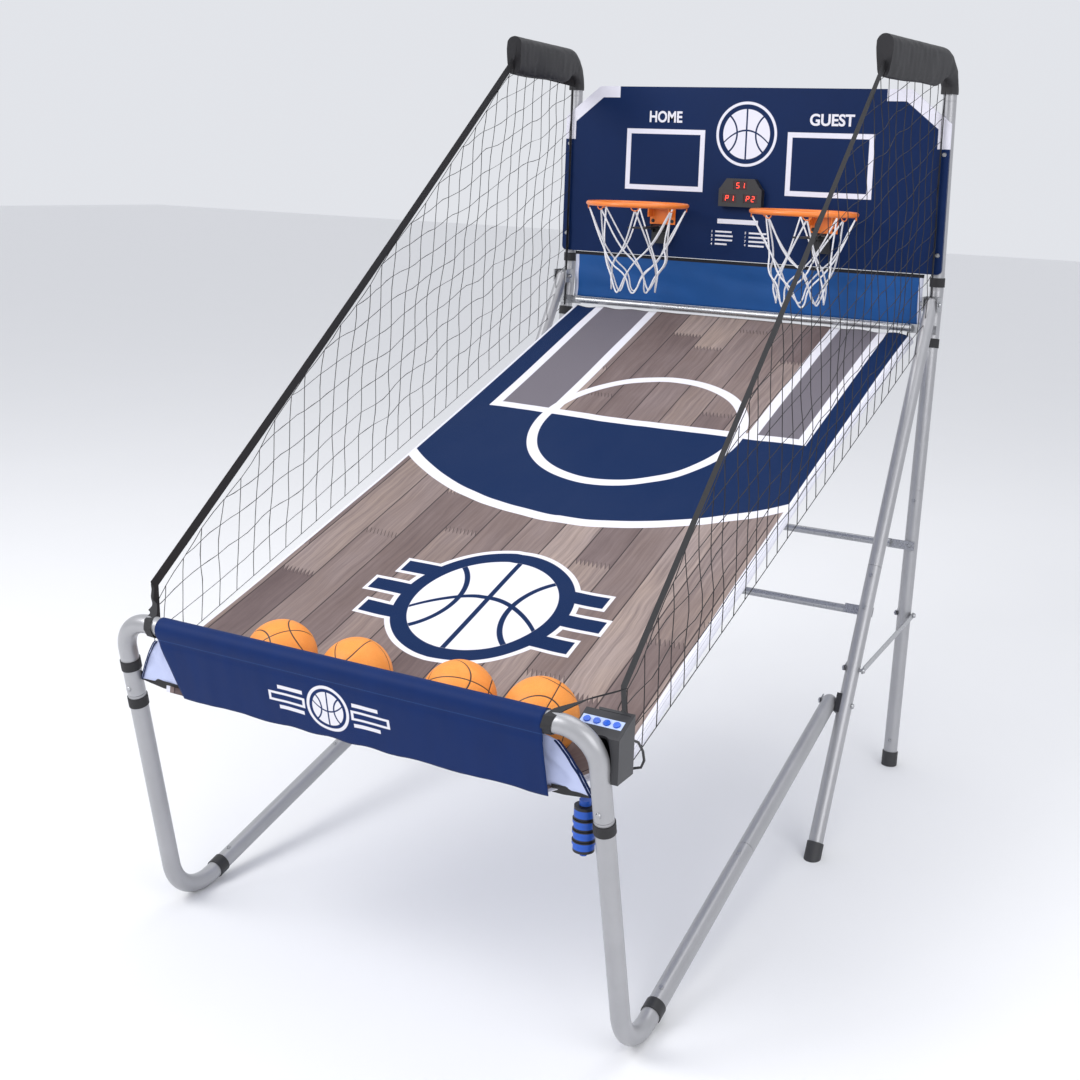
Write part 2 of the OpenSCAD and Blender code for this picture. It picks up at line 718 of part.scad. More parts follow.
module upright_bands() {
    color("black") for (side = [-1, 1], z = [1192, 1364]) on_upright(side, z) translate([0, 0, -13]) difference() {
        cylinder(h = 26, r = tube_r + 2.2);
        translate([0, 0, -1]) cylinder(h = 28, r = tube_r + (z > upright_kink_z ? 1.2 : 0.1));
    }
}

// ---------- backboard ----------

module board_outline() {
    w = board_w / 2;
    polygon([[-w, 0], [w, 0], [w, board_h - bevel_h], [w - bevel_w, board_h], [-w + bevel_w, board_h],
        [-w, board_h - bevel_h]]);
}

module backboard() {
    round_r = 14;
    color("midnightblue") translate([0, board_front_y, board_z]) difference() {
        translate([0, board_t, 0]) rotate([90, 0, 0]) linear_extrude(board_t) board_outline();
        for (s = [-1, 1]) translate([s * board_w / 2, -1, 0]) difference() {
            translate([-round_r, 0, -round_r]) cube([2 * round_r, board_t + 2, 2 * round_r]);
            translate([-s * round_r, -1, round_r]) rotate([-90, 0, 0]) cylinder(h = board_t + 4, r = round_r);
        }
        translate([0, -1, score_z - board_z]) rotate([-90, 0, 0]) cylinder(h = board_t + 2, r = lead_d / 2 + 1.5);
    }
}

module score_outline() {
    polygon([[-68, -42], [-68, 10], [-62, 16], [-44, 42], [44, 42], [62, 16], [68, 10], [68, -42]]);
}

module window_frame(i, grow) {
    centre = [[-33, -17], [33, -17], [0, 22]][i];
    translate([centre.x, centre.y]) square([44 + 2 * grow, 25 + 2 * grow], center = true);
}

module scoreboard() {
    depth = 24;
    color("dimgray") translate([0, board_front_y - 0.2, score_z]) rotate([90, 0, 0]) difference() {
        linear_extrude(depth) score_outline();
        for (i = [0:2]) translate([0, 0, depth - 4]) linear_extrude(5) window_frame(i, 0);
        translate([0, 0, -1]) cylinder(h = depth - 5, r = lead_d / 2 + 0.2);
        translate([-60, -36, -1]) cube([48, 60, 16]);
    }
}

module score_windows() {
    color("darkred") translate([0, board_front_y - 20.4, score_z]) rotate([90, 0, 0])
        for (i = [0:2]) linear_extrude(2.4) window_frame(i, -0.3);
}

// ---------- hoops ----------

module rim(side) {
    plate_w = 84;
    plate_h = 52;
    back = board_front_y - 0.2;
    color("darkorange") translate([side * rim_x, 0, 0]) {
        translate([0, rim_y, rim_z]) rotate_extrude() translate([rim_r, 0]) circle(r = rim_rod / 2);
        translate([-plate_w / 2, back - 3, rim_z - 62]) difference() {
            cube([plate_w, 3, plate_h + 8]);
            for (x = [10, plate_w - 10]) translate([x, -1, 10]) rotate([-90, 0, 0]) cylinder(h = 5, r = 3.1);
        }
        translate([-34, rim_y + rim_r - 3, rim_z - 5]) cube([68, back - rim_y - rim_r + 2, 3]);
        for (s = [-1, 1]) translate([s * 34 - 1.5, rim_y + rim_r + 4, rim_z - 40])
            cube([3, back - rim_y - rim_r - 5, 36]);
        for (i = [0:hook_count - 1]) rotate_about((i + 0.5) * 360 / hook_count)
            translate([rim_r, 0, 3 - rim_rod / 2]) rotate([0, 0, 90]) rotate([-90, 0, 0])
                rotate_extrude(angle = 180) translate([hook_r, 0]) circle(r = 1.5);
    }
}

module rotate_about(angle) {
    translate([0, rim_y, rim_z]) rotate([0, 0, angle]) children();
}

module rim_bolts(side) {
    for (s = [-1, 1]) translate([side * rim_x + s * 32, board_front_y - 3.4, rim_z - 52]) rotate([90, 0, 0])
        cylinder(h = 3, r1 = 6, r2 = 4);
}

module rim_nets() {
    t = 3;
    slot = 72;
    color("white") for (side = [-1, 1]) translate([side * rim_x, rim_y, net_top_z - net_len]) difference() {
        rotate_extrude()
            polygon([[net_low_r, 0], [net_low_r + t, 0], [rim_r - 4, net_len], [rim_r - 4 - t, net_len]]);
        translate([-slot / 2, 20, -1]) cube([slot, rim_r, net_len - 30]);
    }
}

lever_y = board_front_y - 34;
lever_z = rim_z - 70;

module sensor_boxes() {
    color("dimgray") for (side = [-1, 1]) {
        translate([side * rim_x - 24, board_front_y - 27, rim_z - 120]) difference() {
            cube([48, 26.6, 56]);
            translate([3, -1, 34]) cube([42, 12, 23]);
        }
        for (s = [-1, 1]) translate([side * rim_x + s * 22.5 - 1.5, lever_y - 6, lever_z - 9]) difference() {
            cube([3, 14, 18]);
            translate([-1, 6, 9]) rotate([0, 90, 0]) cylinder(h = 5, r = 2 + run_gap);
        }
    }
    color("white") for (side = [-1, 1]) rim_bolts(side);
}

// Swinging levers: a curved arm with a paddle that the ball pushes down.
module score_lever(side) {
    reach = lever_y - rim_y;
    color("black") translate([side * rim_x, lever_y, lever_z]) {
        translate([-24, 0, 0]) rotate([0, 90, 0]) cylinder(h = 48, r = 2);
        difference() {
            translate([-17, 0, 0]) rotate([0, 90, 0]) cylinder(h = 34, r = 5);
            translate([-18, 0, 0]) rotate([0, 90, 0]) cylinder(h = 36, r = 2);
        }
        translate([-5, -reach + 28, -3]) cube([10, reach - 31, 6]);
        translate([0, -reach + 14, 0]) linear_extrude(5, center = true)
            polygon([[-30, -14], [30, -14], [22, 20], [-22, 20]]);
    }
}

// ---------- balls and lead ----------

module ball(i) {
    y = bar_y + ball_r + ball_in[i];
    color("orange") translate([ball_x[i], y, ramp_z(y) + (ball_r + cloth_t + touch_gap) / cos(ramp_slope)])
        sphere(r = ball_r, $fn = 64);
}

// A round lead through a list of points.
module lead(points) {
    sides = 8;
    last = len(points) - 1;
    function heading(i) = let (d = points[min(i + 1, last)] - points[max(i - 1, 0)]) d / norm(d);
    function across(i) = let (h = heading(i), c = cross(h, abs(h.x) > 0.9 ? [0, 0, 1] : [1, 0, 0])) c / norm(c);
    verts = [for (i = [0:last]) let (u = across(i), v = cross(heading(i), u))
        for (k = [0:sides - 1]) points[i] + lead_d / 2 * (cos(k * 360 / sides) * u + sin(k * 360 / sides) * v)];
    walls = [for (i = [0:last - 1], k = [0:sides - 1]) let (a = i * sides, n = (k + 1) % sides)
        [a + k, a + sides + k, a + sides + n, a + n]];
    polyhedron(verts, concat(walls, [[for (k = [0:sides - 1]) k],
        [for (k = [sides - 1:-1:0]) last * sides + k]]));
}

module lead_front() {
    color("black") lead(lead_front_points);
}

module lead_rear() {
    color("black") lead(lead_rear_points);
}

front_bar();
front_leg(-1);  // front_leg_left
front_leg(1);  // front_leg_right
rail_front(-1);  // rail_front_left
rail_front(1);  // rail_front_right
rail_rear(-1);  // rail_rear_left
rail_rear(1);  // rail_rear_right
rail_collars();
front_fasteners();
leg_bands();
front_panel();
tray_gussets();
controller();
controller_panel();
button(0);  // button_1
button(1);  // button_2
button(2);  // button_3
button(3);  // button_4
lead_front();
pump();
support_lower(-1);  // support_lower_left
support_lower(1);  // support_lower_right
support_upper(-1);  // support_upper_left
support_upper(1);  // support_upper_right
support_feet();
front_cross_bar();
support_fasteners();
rail_saddles();
rail_pivots();
upright_lower(-1);  // upright_lower_left
upright_lower(1);  // upright_lower_right
upright_upper(-1);  // upright_upper_left
upright_upper(1);  // upright_upper_right
upright_feet();
top_arms();
rear_cross_bar();
upright_fasteners();
leg_clevises();
spreaders();
ramp_bar();
ramp();
side_net(-1);  // side_net_left
side_net(1);  // side_net_right
arm_sleeves();
rear_panel();
backboard();
scoreboard();
score_windows();
rim(-1);  // rim_left
rim(1);  // rim_right
rim_nets();
sensor_boxes();
score_lever(-1);  // score_lever_left
score_lever(1);  // score_lever_right
lead_rear();
ball(0);  // ball_1
ball(1);  // ball_2
ball(2);  // ball_3
ball(3);  // ball_4
upright_bands();
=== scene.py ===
import math
import random
import bmesh
import bpy
from mathutils import Matrix, Vector, noise


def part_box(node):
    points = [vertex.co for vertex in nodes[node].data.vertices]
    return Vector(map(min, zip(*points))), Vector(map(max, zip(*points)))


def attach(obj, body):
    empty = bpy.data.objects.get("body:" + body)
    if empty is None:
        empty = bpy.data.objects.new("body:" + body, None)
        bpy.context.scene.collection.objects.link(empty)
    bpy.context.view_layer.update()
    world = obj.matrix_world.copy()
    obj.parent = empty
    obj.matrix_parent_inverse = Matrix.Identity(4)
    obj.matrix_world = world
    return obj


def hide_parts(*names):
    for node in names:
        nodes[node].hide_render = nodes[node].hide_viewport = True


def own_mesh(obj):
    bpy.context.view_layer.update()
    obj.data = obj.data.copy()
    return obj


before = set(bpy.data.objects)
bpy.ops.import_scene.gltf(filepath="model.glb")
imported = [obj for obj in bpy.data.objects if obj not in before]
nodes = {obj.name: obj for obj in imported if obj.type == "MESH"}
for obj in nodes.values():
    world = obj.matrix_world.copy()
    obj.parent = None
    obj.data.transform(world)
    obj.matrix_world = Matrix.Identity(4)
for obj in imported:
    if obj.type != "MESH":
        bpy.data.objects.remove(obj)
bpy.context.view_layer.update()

scene = bpy.context.scene
print("frame loaded:", len(nodes), "nodes")

# ---- camera, light and floor ----
viewPoint = {"place": (1.6044, -3.1591, 1.6552), "yaw": 27.9025, "pitch": -6.8394, "roll": 2.2018,
             "lens": 48.74, "shiftX": -0.0238, "shiftY": -0.1849}
studio = {"floorColour": (0.86, 0.86, 0.87), "worldColour": (0.93, 0.95, 1.0), "worldStrength": 0.82,
          "keyPower": 150.0, "fillPower": 60.0, "rimPower": 45.0}


def makeCamera():
    yaw, pitch, roll = (math.radians(viewPoint[k]) for k in ("yaw", "pitch", "roll"))
    ahead = Vector((-math.sin(yaw) * math.cos(pitch), math.cos(yaw) * math.cos(pitch), math.sin(pitch)))
    right = Vector((math.cos(yaw), math.sin(yaw), 0))
    up = right.cross(ahead)
    side = right * math.cos(roll) + up * math.sin(roll)
    top = up * math.cos(roll) - right * math.sin(roll)
    lens = bpy.data.cameras.new("viewCamera")
    lens.sensor_width = 36
    lens.lens = viewPoint["lens"]
    lens.shift_x, lens.shift_y = viewPoint["shiftX"], viewPoint["shiftY"]
    eye = bpy.data.objects.new("viewCamera", lens)
    turn = Matrix((side, top, -ahead)).transposed().to_4x4()
    eye.matrix_world = Matrix.Translation(viewPoint["place"]) @ turn
    scene.collection.objects.link(eye)
    scene.camera = eye


def makeLight(name, place, aim, power, size):
    lamp = bpy.data.lights.new(name, "AREA")
    lamp.energy, lamp.size = power, size
    holder = bpy.data.objects.new(name, lamp)
    heading = (Vector(aim) - Vector(place)).to_track_quat("-Z", "Y")
    holder.matrix_world = Matrix.Translation(place) @ heading.to_matrix().to_4x4()
    scene.collection.objects.link(holder)


makeCamera()
makeLight("keyLight", (-2.6, -3.4, 4.2), (0, 0.1, 0.9), studio["keyPower"], 2.6)
makeLight("fillLight", (3.8, -2.2, 2.8), (0, 0.2, 1.0), studio["fillPower"], 3.0)
makeLight("topLight", (0.3, 1.0, 4.6), (0, 0.3, 1.0), studio["rimPower"], 3.2)
world = bpy.data.worlds.new("studioWorld")
world.use_nodes = True
world.node_tree.nodes["Background"].inputs[0].default_value = (*studio["worldColour"], 1)
world.node_tree.nodes["Background"].inputs[1].default_value = studio["worldStrength"]
scene.world = world
scene.view_settings.view_transform = "Standard"


# ---- shader sums ----
class Wire:
    def __init__(self, tree, socket=None):
        self.tree, self.socket = tree, socket

    def node(self, kind, settings=None, values=None, out=0):
        made = self.tree.nodes.new(kind)
        for key, value in (settings or {}).items():
            if key == "stops":
                ramp = made.color_ramp
                ramp.elements.remove(ramp.elements[1])
                ramp.elements[0].position, ramp.elements[0].color = value[0][0], (*value[0][1], 1)
                for place, colour in value[1:]:
                    ramp.elements.new(place).color = (*colour, 1)
            else:
                setattr(made, key, value)
        for key, value in (values or {}).items():
            if isinstance(value, Wire):
                self.tree.links.new(value.socket, made.inputs[key])
            else:
                made.inputs[key].default_value = value
        return Wire(self.tree, made.outputs[out])

    def maths(self, operation, first, second=0.0):
        return self.node("ShaderNodeMath", {"operation": operation}, {0: first, 1: second})

    def __add__(self, other):
        return self.maths("ADD", self, other)

    __radd__ = __add__

    def __sub__(self, other):
        return self.maths("SUBTRACT", self, other)

    def __rsub__(self, other):
        return self.maths("SUBTRACT", other, self)

    def __mul__(self, other):
        return self.maths("MULTIPLY", self, other)

    __rmul__ = __mul__

    def __truediv__(self, other):
        return self.maths("DIVIDE", self, other)

    def __abs__(self):
        return self.maths("ABSOLUTE", self)

    def __pow__(self, other):
        return self.maths("POWER", self, other)

    def lesser(self, other):
        return self.maths("MINIMUM", self, other)

    def greater(self, other):
        return self.maths("MAXIMUM", self, other)

    def floor(self):
        return self.maths("FLOOR", self)

    def part(self):
        return self.maths("FRACT", self)

    def root(self):
        return self.maths("SQRT", self)

    def sine(self):
        return self.maths("SINE", self)

    def fade(self, low, high, first=0.0, last=1.0):
        return self.node("ShaderNodeMapRange", None, {0: self, 1: low, 2: high, 3: first, 4: last})

    def inside(self, soft=0.0008):   # 1 where the distance is below 0
        return self.fade(-soft, soft, 1.0, 0.0)

    def mix(self, first, second):    # self is the share of the second colour
        pair = [c if isinstance(c, Wire) else (*c, 1) for c in (first, second)]
        return self.node("ShaderNodeMix", {"data_type": "RGBA"}, {0: self, 6: pair[0], 7: pair[1]}, 2)

    def axes(self):
        split = self.tree.nodes.new("ShaderNodeSeparateXYZ")
        self.tree.links.new(self.socket, split.inputs[0])
        return [Wire(self.tree, split.outputs[i]) for i in range(3)]

    def spread(self, x, y, z):
        return self.node("ShaderNodeCombineXYZ", None, {0: x, 1: y, 2: z})

    def grain(self, scale, detail=4.0, rough=0.5):
        return self.node("ShaderNodeTexNoise", None, {"Vector": self, "Scale": scale, "Detail": detail,
                                                      "Roughness": rough})

    def bump(self, strength, distance):
        return self.node("ShaderNodeBump", None, {"Height": self, "Strength": strength, "Distance": distance})


def finish(name, rule, flat=None, **fixed):
    material = bpy.data.materials.new(name)
    material.use_nodes = True
    tree = material.node_tree
    shader = tree.nodes["Principled BSDF"]
    start = Wire(tree)
    if flat == "uv":
        place = start.node("ShaderNodeUVMap", {"uv_map": "flat"})
    elif flat:
        place = start.node("ShaderNodeAttribute", {"attribute_name": flat}, None, 1)
    else:
        place = start.node("ShaderNodeTexCoord", None, None, 3)
    for key, value in {**fixed, **rule(place)}.items():
        name = key.replace("_", " ")
        if isinstance(value, Wire):
            tree.links.new(value.socket, shader.inputs[name])
        else:
            shader.inputs[name].default_value = (*value, 1) if isinstance(value, tuple) else value
    return material


def ringAround(x, y, centre, radius):
    return ((x - centre[0]) ** 2 + (y - centre[1]) ** 2).root() - radius


def slab(x, y, centre, half):
    return abs(x - centre[0]).__sub__(half[0]).greater(abs(y - centre[1]) - half[1])


# ---- finishes ----
paint = {"silver": (0.40, 0.40, 0.415), "dull": (0.33, 0.33, 0.34), "navy": (0.002, 0.018, 0.098),
         "courtNavy": (0.0005, 0.0165, 0.076), "white": (0.78, 0.77, 0.83), "grey": (0.165, 0.150, 0.175),
         "royal": (0.010, 0.075, 0.26), "lavender": (0.56, 0.62, 0.88),
         "orange": (0.83, 0.20, 0.022), "pump": (0.006, 0.075, 0.47), "boardNavy": (0.0008, 0.013, 0.066)}


def tint(place, colour, scale, amount):
    low = tuple(c * (1 - amount) for c in colour)
    high = tuple(min(1, c * (1 + amount)) for c in colour)
    return place.grain(scale, 5.0, 0.6).mix(low, high)


def steelRule(place):
    flakes = place.grain(900.0, 2.0)
    smudge = place.grain(9.0, 5.0, 0.65)
    scuff = place.grain(60.0, 6.0, 0.75).fade(0.66, 0.74)
    base = smudge.mix(tuple(c * 0.86 for c in paint["silver"]), tuple(c * 1.12 for c in paint["silver"]))
    return {"Base_Color": (scuff * 0.5).mix(base, paint["dull"]),
            "Roughness": smudge * 0.16 + flakes * 0.08 + 0.26 + scuff * 0.1,
            "Normal": (flakes * 0.6 + smudge * 0.4).bump(0.12, 0.0006)}


def zincRule(place):
    spangle = place.node("ShaderNodeTexVoronoi", None, {"Vector": place, "Scale": 260.0}, 1)
    wear = place.grain(40.0, 5.0, 0.7)
    tone = spangle.axes()[0] * 0.35 + wear * 0.5
    return {"Base_Color": tone.mix((0.34, 0.345, 0.36), (0.48, 0.485, 0.50)),
            "Roughness": tone * 0.25 + 0.2, "Normal": wear.bump(0.08, 0.0004)}


def plasticRule(colour, grainSize=1400.0, rough=0.42, amount=0.14):
    def rule(place):
        fine = place.grain(grainSize, 3.0, 0.6)
        broad = place.grain(14.0, 4.0, 0.6)
        return {"Base_Color": tint(place, colour, 25.0, amount),
                "Roughness": broad * 0.14 + fine * 0.1 + rough - 0.1,
                "Normal": (fine + broad * 0.5).bump(0.16, 0.0004)}
    return rule


def threads(x, y, pitch):   # over-and-under weave, height 0 to 1
    warp = (x * (2 * math.pi / pitch)).sine()
    weft = (y * (2 * math.pi / pitch)).sine()
    return (warp * weft) * 0.5 + 0.5


def clothRule(colour, pitch=0.0011, amount=0.16, rough=0.62):
    def rule(place):
        x, y, z = place.axes()
        weave = threads(x + z * 0.31, y + z, pitch)
        crease = place.grain(7.0, 5.0, 0.55)
        slub = place.spread(x * 30, y * 400, z * 400).grain(1.0, 3.0)
        # Base colour follows the crease bump: painted shade in the fold troughs and painted light on the
        # ridges, mixed with real slub yarn tone
        return {"Base_Color": (crease * 0.7 + slub * 0.3).mix(tuple(c * (1 - amount) for c in colour),
                                                             tuple(c * (1 + amount) for c in colour)),
                "Roughness": weave * 0.14 + slub * 0.1 + rough - 0.1,
                "Normal": (weave * 0.35 + crease * 2.4 + slub * 0.3).bump(0.22, 0.0016)}
    return rule


def webbingRule(place):
    x, y, z = place.axes()
    rib = ((x + y * 0.2 + z) * (2 * math.pi / 0.0022)).sine() * 0.5 + 0.5
    fuzz = place.grain(700.0, 3.0)
    return {"Base_Color": (rib * 0.5 + fuzz * 0.5).mix((0.006, 0.006, 0.007), (0.030, 0.029, 0.032)),
            "Roughness": fuzz * 0.2 + 0.6, "Normal": (rib + fuzz * 0.5).bump(0.4, 0.0006)}


def rubberRule(place):
    fuzz = place.grain(500.0, 3.0)
    return {"Base_Color": fuzz.mix((0.014, 0.014, 0.015), (0.032, 0.032, 0.034)),
            "Roughness": fuzz * 0.2 + 0.45, "Normal": fuzz.bump(0.2, 0.0004)}


tubeSteel = finish("tubeSteel", steelRule, Metallic=0.55, Coat_Weight=0.15)
barSteel = finish("barSteel", zincRule, Metallic=0.8)
boltZinc = finish("boltZinc", zincRule, Metallic=0.95)
blackPlastic = finish("blackPlastic", plasticRule((0.018, 0.018, 0.02)))
footPlastic = finish("footPlastic", plasticRule((0.035, 0.035, 0.038), 900.0, 0.55))
blackWebbing = finish("blackWebbing", webbingRule)
rimPaint = finish("rimPaint", plasticRule(paint["orange"], 700.0, 0.34, 0.12), Coat_Weight=0.25)
sensorPlastic = finish("sensorPlastic", plasticRule((0.014, 0.015, 0.018), 1000.0, 0.4))
scorePlastic = finish("scorePlastic", plasticRule((0.024, 0.022, 0.024), 1600.0, 0.42))
lensRed = finish("lensRed", plasticRule((0.035, 0.002, 0.003), 2000.0, 0.16), Coat_Weight=0.6)
ctrlPlastic = finish("ctrlPlastic", plasticRule((0.024, 0.024, 0.028), 1500.0, 0.36))
buttonBlue = finish("buttonBlue", plasticRule((0.01, 0.10, 0.60), 1800.0, 0.25), Coat_Weight=0.4)
leadRubber = finish("leadRubber", rubberRule)

# ---- mesh helpers ----


def bentGrid(across, along, place, flatten=None, wrap=False):
    shape = bmesh.new()
    bmesh.ops.create_grid(shape, x_segments=across, y_segments=along, size=0.5)
    chart = shape.loops.layers.uv.new("flat")
    for face in shape.faces:
        for corner in face.loops:
            u, v = corner.vert.co.x + 0.5, corner.vert.co.y + 0.5
            corner[chart].uv = flatten(u, v) if flatten else (u, v)
    for vert in shape.verts:
        vert.co = place(vert.co.x + 0.5, vert.co.y + 0.5)
    if wrap:
        bmesh.ops.remove_doubles(shape, verts=shape.verts, dist=0.00002)
    return shape


def addPiece(name, shape, body, finishes, sharp=40):
    data = bpy.data.meshes.new(name)
    shape.to_mesh(data)
    shape.free()
    piece = bpy.data.objects.new(name, data)
    scene.collection.objects.link(piece)
    for made in finishes:
        data.materials.append(made)
    data.shade_smooth()
    data.set_sharp_from_angle(angle=math.radians(sharp))
    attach(piece, body)
    return piece


def thicken(piece, thickness, offset=0.0, lining=False):
    wall = piece.modifiers.new("wall", "SOLIDIFY")
    wall.thickness, wall.offset = thickness, offset
    if lining:
        wall.material_offset = 1
    return piece


def merge(shape, other):
    data = bpy.data.meshes.new("scratch")
    other.to_mesh(data)
    other.free()
    shape.from_mesh(data)
    bpy.data.meshes.remove(data)


def cordMesh(runs, radius, sides=1, closed=False, steps=4):
    path = bpy.data.curves.new("scratch", "CURVE")
    path.dimensions = "3D"
    path.bevel_depth, path.bevel_resolution, path.resolution_u = radius, sides, steps
    path.use_fill_caps = True
    for run in runs:
        spline = path.splines.new("BEZIER")
        spline.bezier_points.add(len(run) - 1)
        spline.use_cyclic_u = closed
        for point, place in zip(spline.bezier_points, run):
            point.co = place
            point.handle_left_type = point.handle_right_type = "AUTO"
    holder = bpy.data.objects.new("scratch", path)
    scene.collection.objects.link(holder)
    data = bpy.data.meshes.new_from_object(holder.evaluated_get(bpy.context.evaluated_depsgraph_get()))
    shape = bmesh.new()
    shape.from_mesh(data)
    bpy.data.objects.remove(holder)
    bpy.data.curves.remove(path)
    bpy.data.meshes.remove(data)
    return shape


def strapMesh(points, sides, widths, thickness=0.0016, segments=24):
    def place(u, v):
        i = v * (len(points) - 1)
        low = min(int(i), len(points) - 2)
        share = i - low
        side = Vector(sides[low]).lerp(Vector(sides[low + 1]), share)
        width = widths[low] * (1 - share) + widths[low + 1] * share
        centre = Vector(points[low]).lerp(Vector(points[low + 1]), share)
        return centre + side.normalized() * ((u - 0.5) * width)
    shape = bentGrid(3, segments, place)
    bmesh.ops.solidify(shape, geom=shape.verts[:] + shape.edges[:] + shape.faces[:], thickness=thickness)
    bmesh.ops.recalc_face_normals(shape, faces=shape.faces[:])
    return shape


def paintNode(made, *names):
    for name in names:
        for slot in nodes[name].material_slots:
            slot.material = made


# ---- frame ----
rampSlope = math.atan2(1215.5 - 552.0, 946.35 + 977.087)
rampFront = (-0.977087, 0.552)
barAxis = (-0.997087, 0.693835)
leanFront = math.radians(14)
leanUp = Vector((0, -math.sin(leanFront), math.cos(leanFront)))
leanIn = Vector((0, math.cos(leanFront), math.sin(leanFront)))


def rampZ(y):
    return rampFront[1] + (y - rampFront[0]) * math.tan(rampSlope)


paintNode(tubeSteel, "front_bar", "front_leg_left", "front_leg_right", "rail_front_left", "rail_front_right",
          "rail_rear_left", "rail_rear_right", "support_lower_left", "support_lower_right",
          "support_upper_left", "support_upper_right", "upright_lower_left", "upright_lower_right",
          "upright_upper_left", "upright_upper_right", "top_arms")
paintNode(barSteel, "front_cross_bar", "rear_cross_bar", "ramp_bar", "leg_clevises", "spreaders")
paintNode(boltZinc, "front_fasteners", "support_fasteners", "rail_pivots", "upright_fasteners")
paintNode(blackPlastic, "rail_collars", "rail_saddles")
paintNode(footPlastic, "support_feet", "upright_feet")
paintNode(blackWebbing, "leg_bands", "upright_bands")
paintNode(rimPaint, "rim_left", "rim_right")
paintNode(sensorPlastic, "sensor_boxes", "score_lever_left", "score_lever_right")
paintNode(scorePlastic, "scoreboard")
paintNode(lensRed, "score_windows")
paintNode(ctrlPlastic, "controller")
paintNode(buttonBlue, "button_1", "button_2", "button_3", "button_4")
paintNode(leadRubber, "lead_front", "lead_rear")
print("frame finishes done")

# ---- leads ----
leads = {"lead_front": ("front_frame", ((572, -917, 655), (572, -900, 652), (571, -872, 638),
                                        (569, -846, 612),
                                        (567, -834, 590), (560, -831, 574), (546, -834, 570),
                                        (532, -838, 574), (520, -839, 584))),
         "lead_rear": ("rear_frame", ((520, -834, 588), (518, -700, 637), (516, -400, 740), (516, 0, 878),
                                      (516, 400, 1016), (516, 700, 1119), (518, 880, 1180), (519, 940, 1197),
                                      (520, 975, 1207), (520, 985, 1225), (520, 985, 1300), (520, 985, 1480),
                                      (512, 985, 1570), (480, 985, 1591), (300, 985, 1592), (60, 985, 1592),
                                      (12, 984, 1592), (2, 977, 1592), (0, 967, 1592)))}
leadRadius = 0.0025
for leadName, (leadBody, leadStops) in leads.items():   # the stops are in millimetres
    stops = [Vector(stop) / 1000 for stop in leadStops]
    line = bpy.data.curves.new(leadName + "Line", "CURVE")
    line.dimensions, line.bevel_depth, line.bevel_resolution, line.use_fill_caps = "3D", leadRadius, 4, True
    spline = line.splines.new("POLY")
    spline.points.add(len(stops) - 1)
    for point, stop in zip(spline.points, stops):
        point.co = (*stop, 1)
    holder = bpy.data.objects.new("scratch", line)
    scene.collection.objects.link(holder)
    data = bpy.data.meshes.new_from_object(holder.evaluated_get(bpy.context.evaluated_depsgraph_get()))
    shape = bmesh.new()
    shape.from_mesh(data)
    bpy.data.objects.remove(holder)
    bpy.data.curves.remove(line)
    bpy.data.meshes.remove(data)
    lead = addPiece("leadFront" if leadBody == "front_frame" else "leadRear", shape, leadBody,
                    [leadRubber])
    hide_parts(leadName)
    if leadBody == "rear_frame":
        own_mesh(lead)
print("leads done")

# ---- ramp ----
ramp = {"halfWidth": 0.542, "frontHalf": 0.445, "shoulder": 0.116, "length": 2.0347, "fold": 0.019,
        "sag": 0.013, "scallop": 0.012, "plank": 0.094, "plankLength": 0.74,
        "keyOuter": (-0.452, 0.458), "keyInner": (-0.268, 0.318), "keyFoot": 0.325, "line": 0.028,
        "circle": (0.005, 0.296, 0.283), "arc": ((-0.523, 0.0074), (0.147, -0.1587), (0.548, 0.0243)),
        "arcLine": 0.030, "badge": (0.027, -0.545)}
slopeScale = 1 / math.cos(rampSlope)


def circleThrough(a, b, c):
    d = 2 * (a[0] * (b[1] - c[1]) + b[0] * (c[1] - a[1]) + c[0] * (a[1] - b[1]))
    sa, sb, sc = (p[0] ** 2 + p[1] ** 2 for p in (a, b, c))
    x = (sa * (b[1] - c[1]) + sb * (c[1] - a[1]) + sc * (a[1] - b[1])) / d
    y = (sa * (c[0] - b[0]) + sb * (a[0] - c[0]) + sc * (b[0] - a[0])) / d
    return x, y, math.hypot(a[0] - x, a[1] - y)


def plankColour(place, x, y):
    lane = x / ramp["plank"] + 0.5
    index = lane.floor()
    shift = place.node("ShaderNodeTexWhiteNoise", {"noise_dimensions": "1D"}, {"W": index})
    length = y / ramp["plankLength"] + shift * 5.0
    toothed = (lane * 9.0).part() * 0.03
    step = (length + toothed).floor()
    pick = place.node("ShaderNodeTexWhiteNoise", {"noise_dimensions": "2D"},
                      {"Vector": place.spread(index, step, 0.0)})
    tones = [(0.0, (0.095, 0.066, 0.068)), (0.25, (0.165, 0.120, 0.112)), (0.5, (0.255, 0.188, 0.166)),
             (0.75, (0.37, 0.285, 0.245)), (1.0, (0.50, 0.39, 0.33))]
    tone = pick.node("ShaderNodeValToRGB", {"stops": tones}, {0: pick})
    warp = place.grain(6.0, 2.0)
    fibre = place.spread(x * 95 + warp * 3.0 + pick * 50, y * 3.2 + pick * 9, 0.0).grain(1.0, 7.0, 0.62)
    fine = place.spread(x * 420, y * 9.0, pick * 7).grain(1.0, 4.0, 0.6)
    blotch = place.spread(x * 7 + pick * 30, y * 3, 0.0).grain(1.0, 5.0, 0.6)
    grown = (fibre * 0.75 + fine * 0.25).fade(0.30, 0.70, 0.0, 0.75).mix(
        (blotch.fade(0.35, 0.68)).mix(tone, pick.mix((0.19, 0.14, 0.14), (0.42, 0.34, 0.32))),
        (0.10, 0.072, 0.075))
    seam = abs((lane.part() - 0.5)).fade(0.476, 0.490)
    cross = abs(((length + toothed).part() - 0.5)).fade(0.4955, 0.4985)
    return seam.greater(cross * 0.75).mix(grown, (0.045, 0.034, 0.036)), fibre


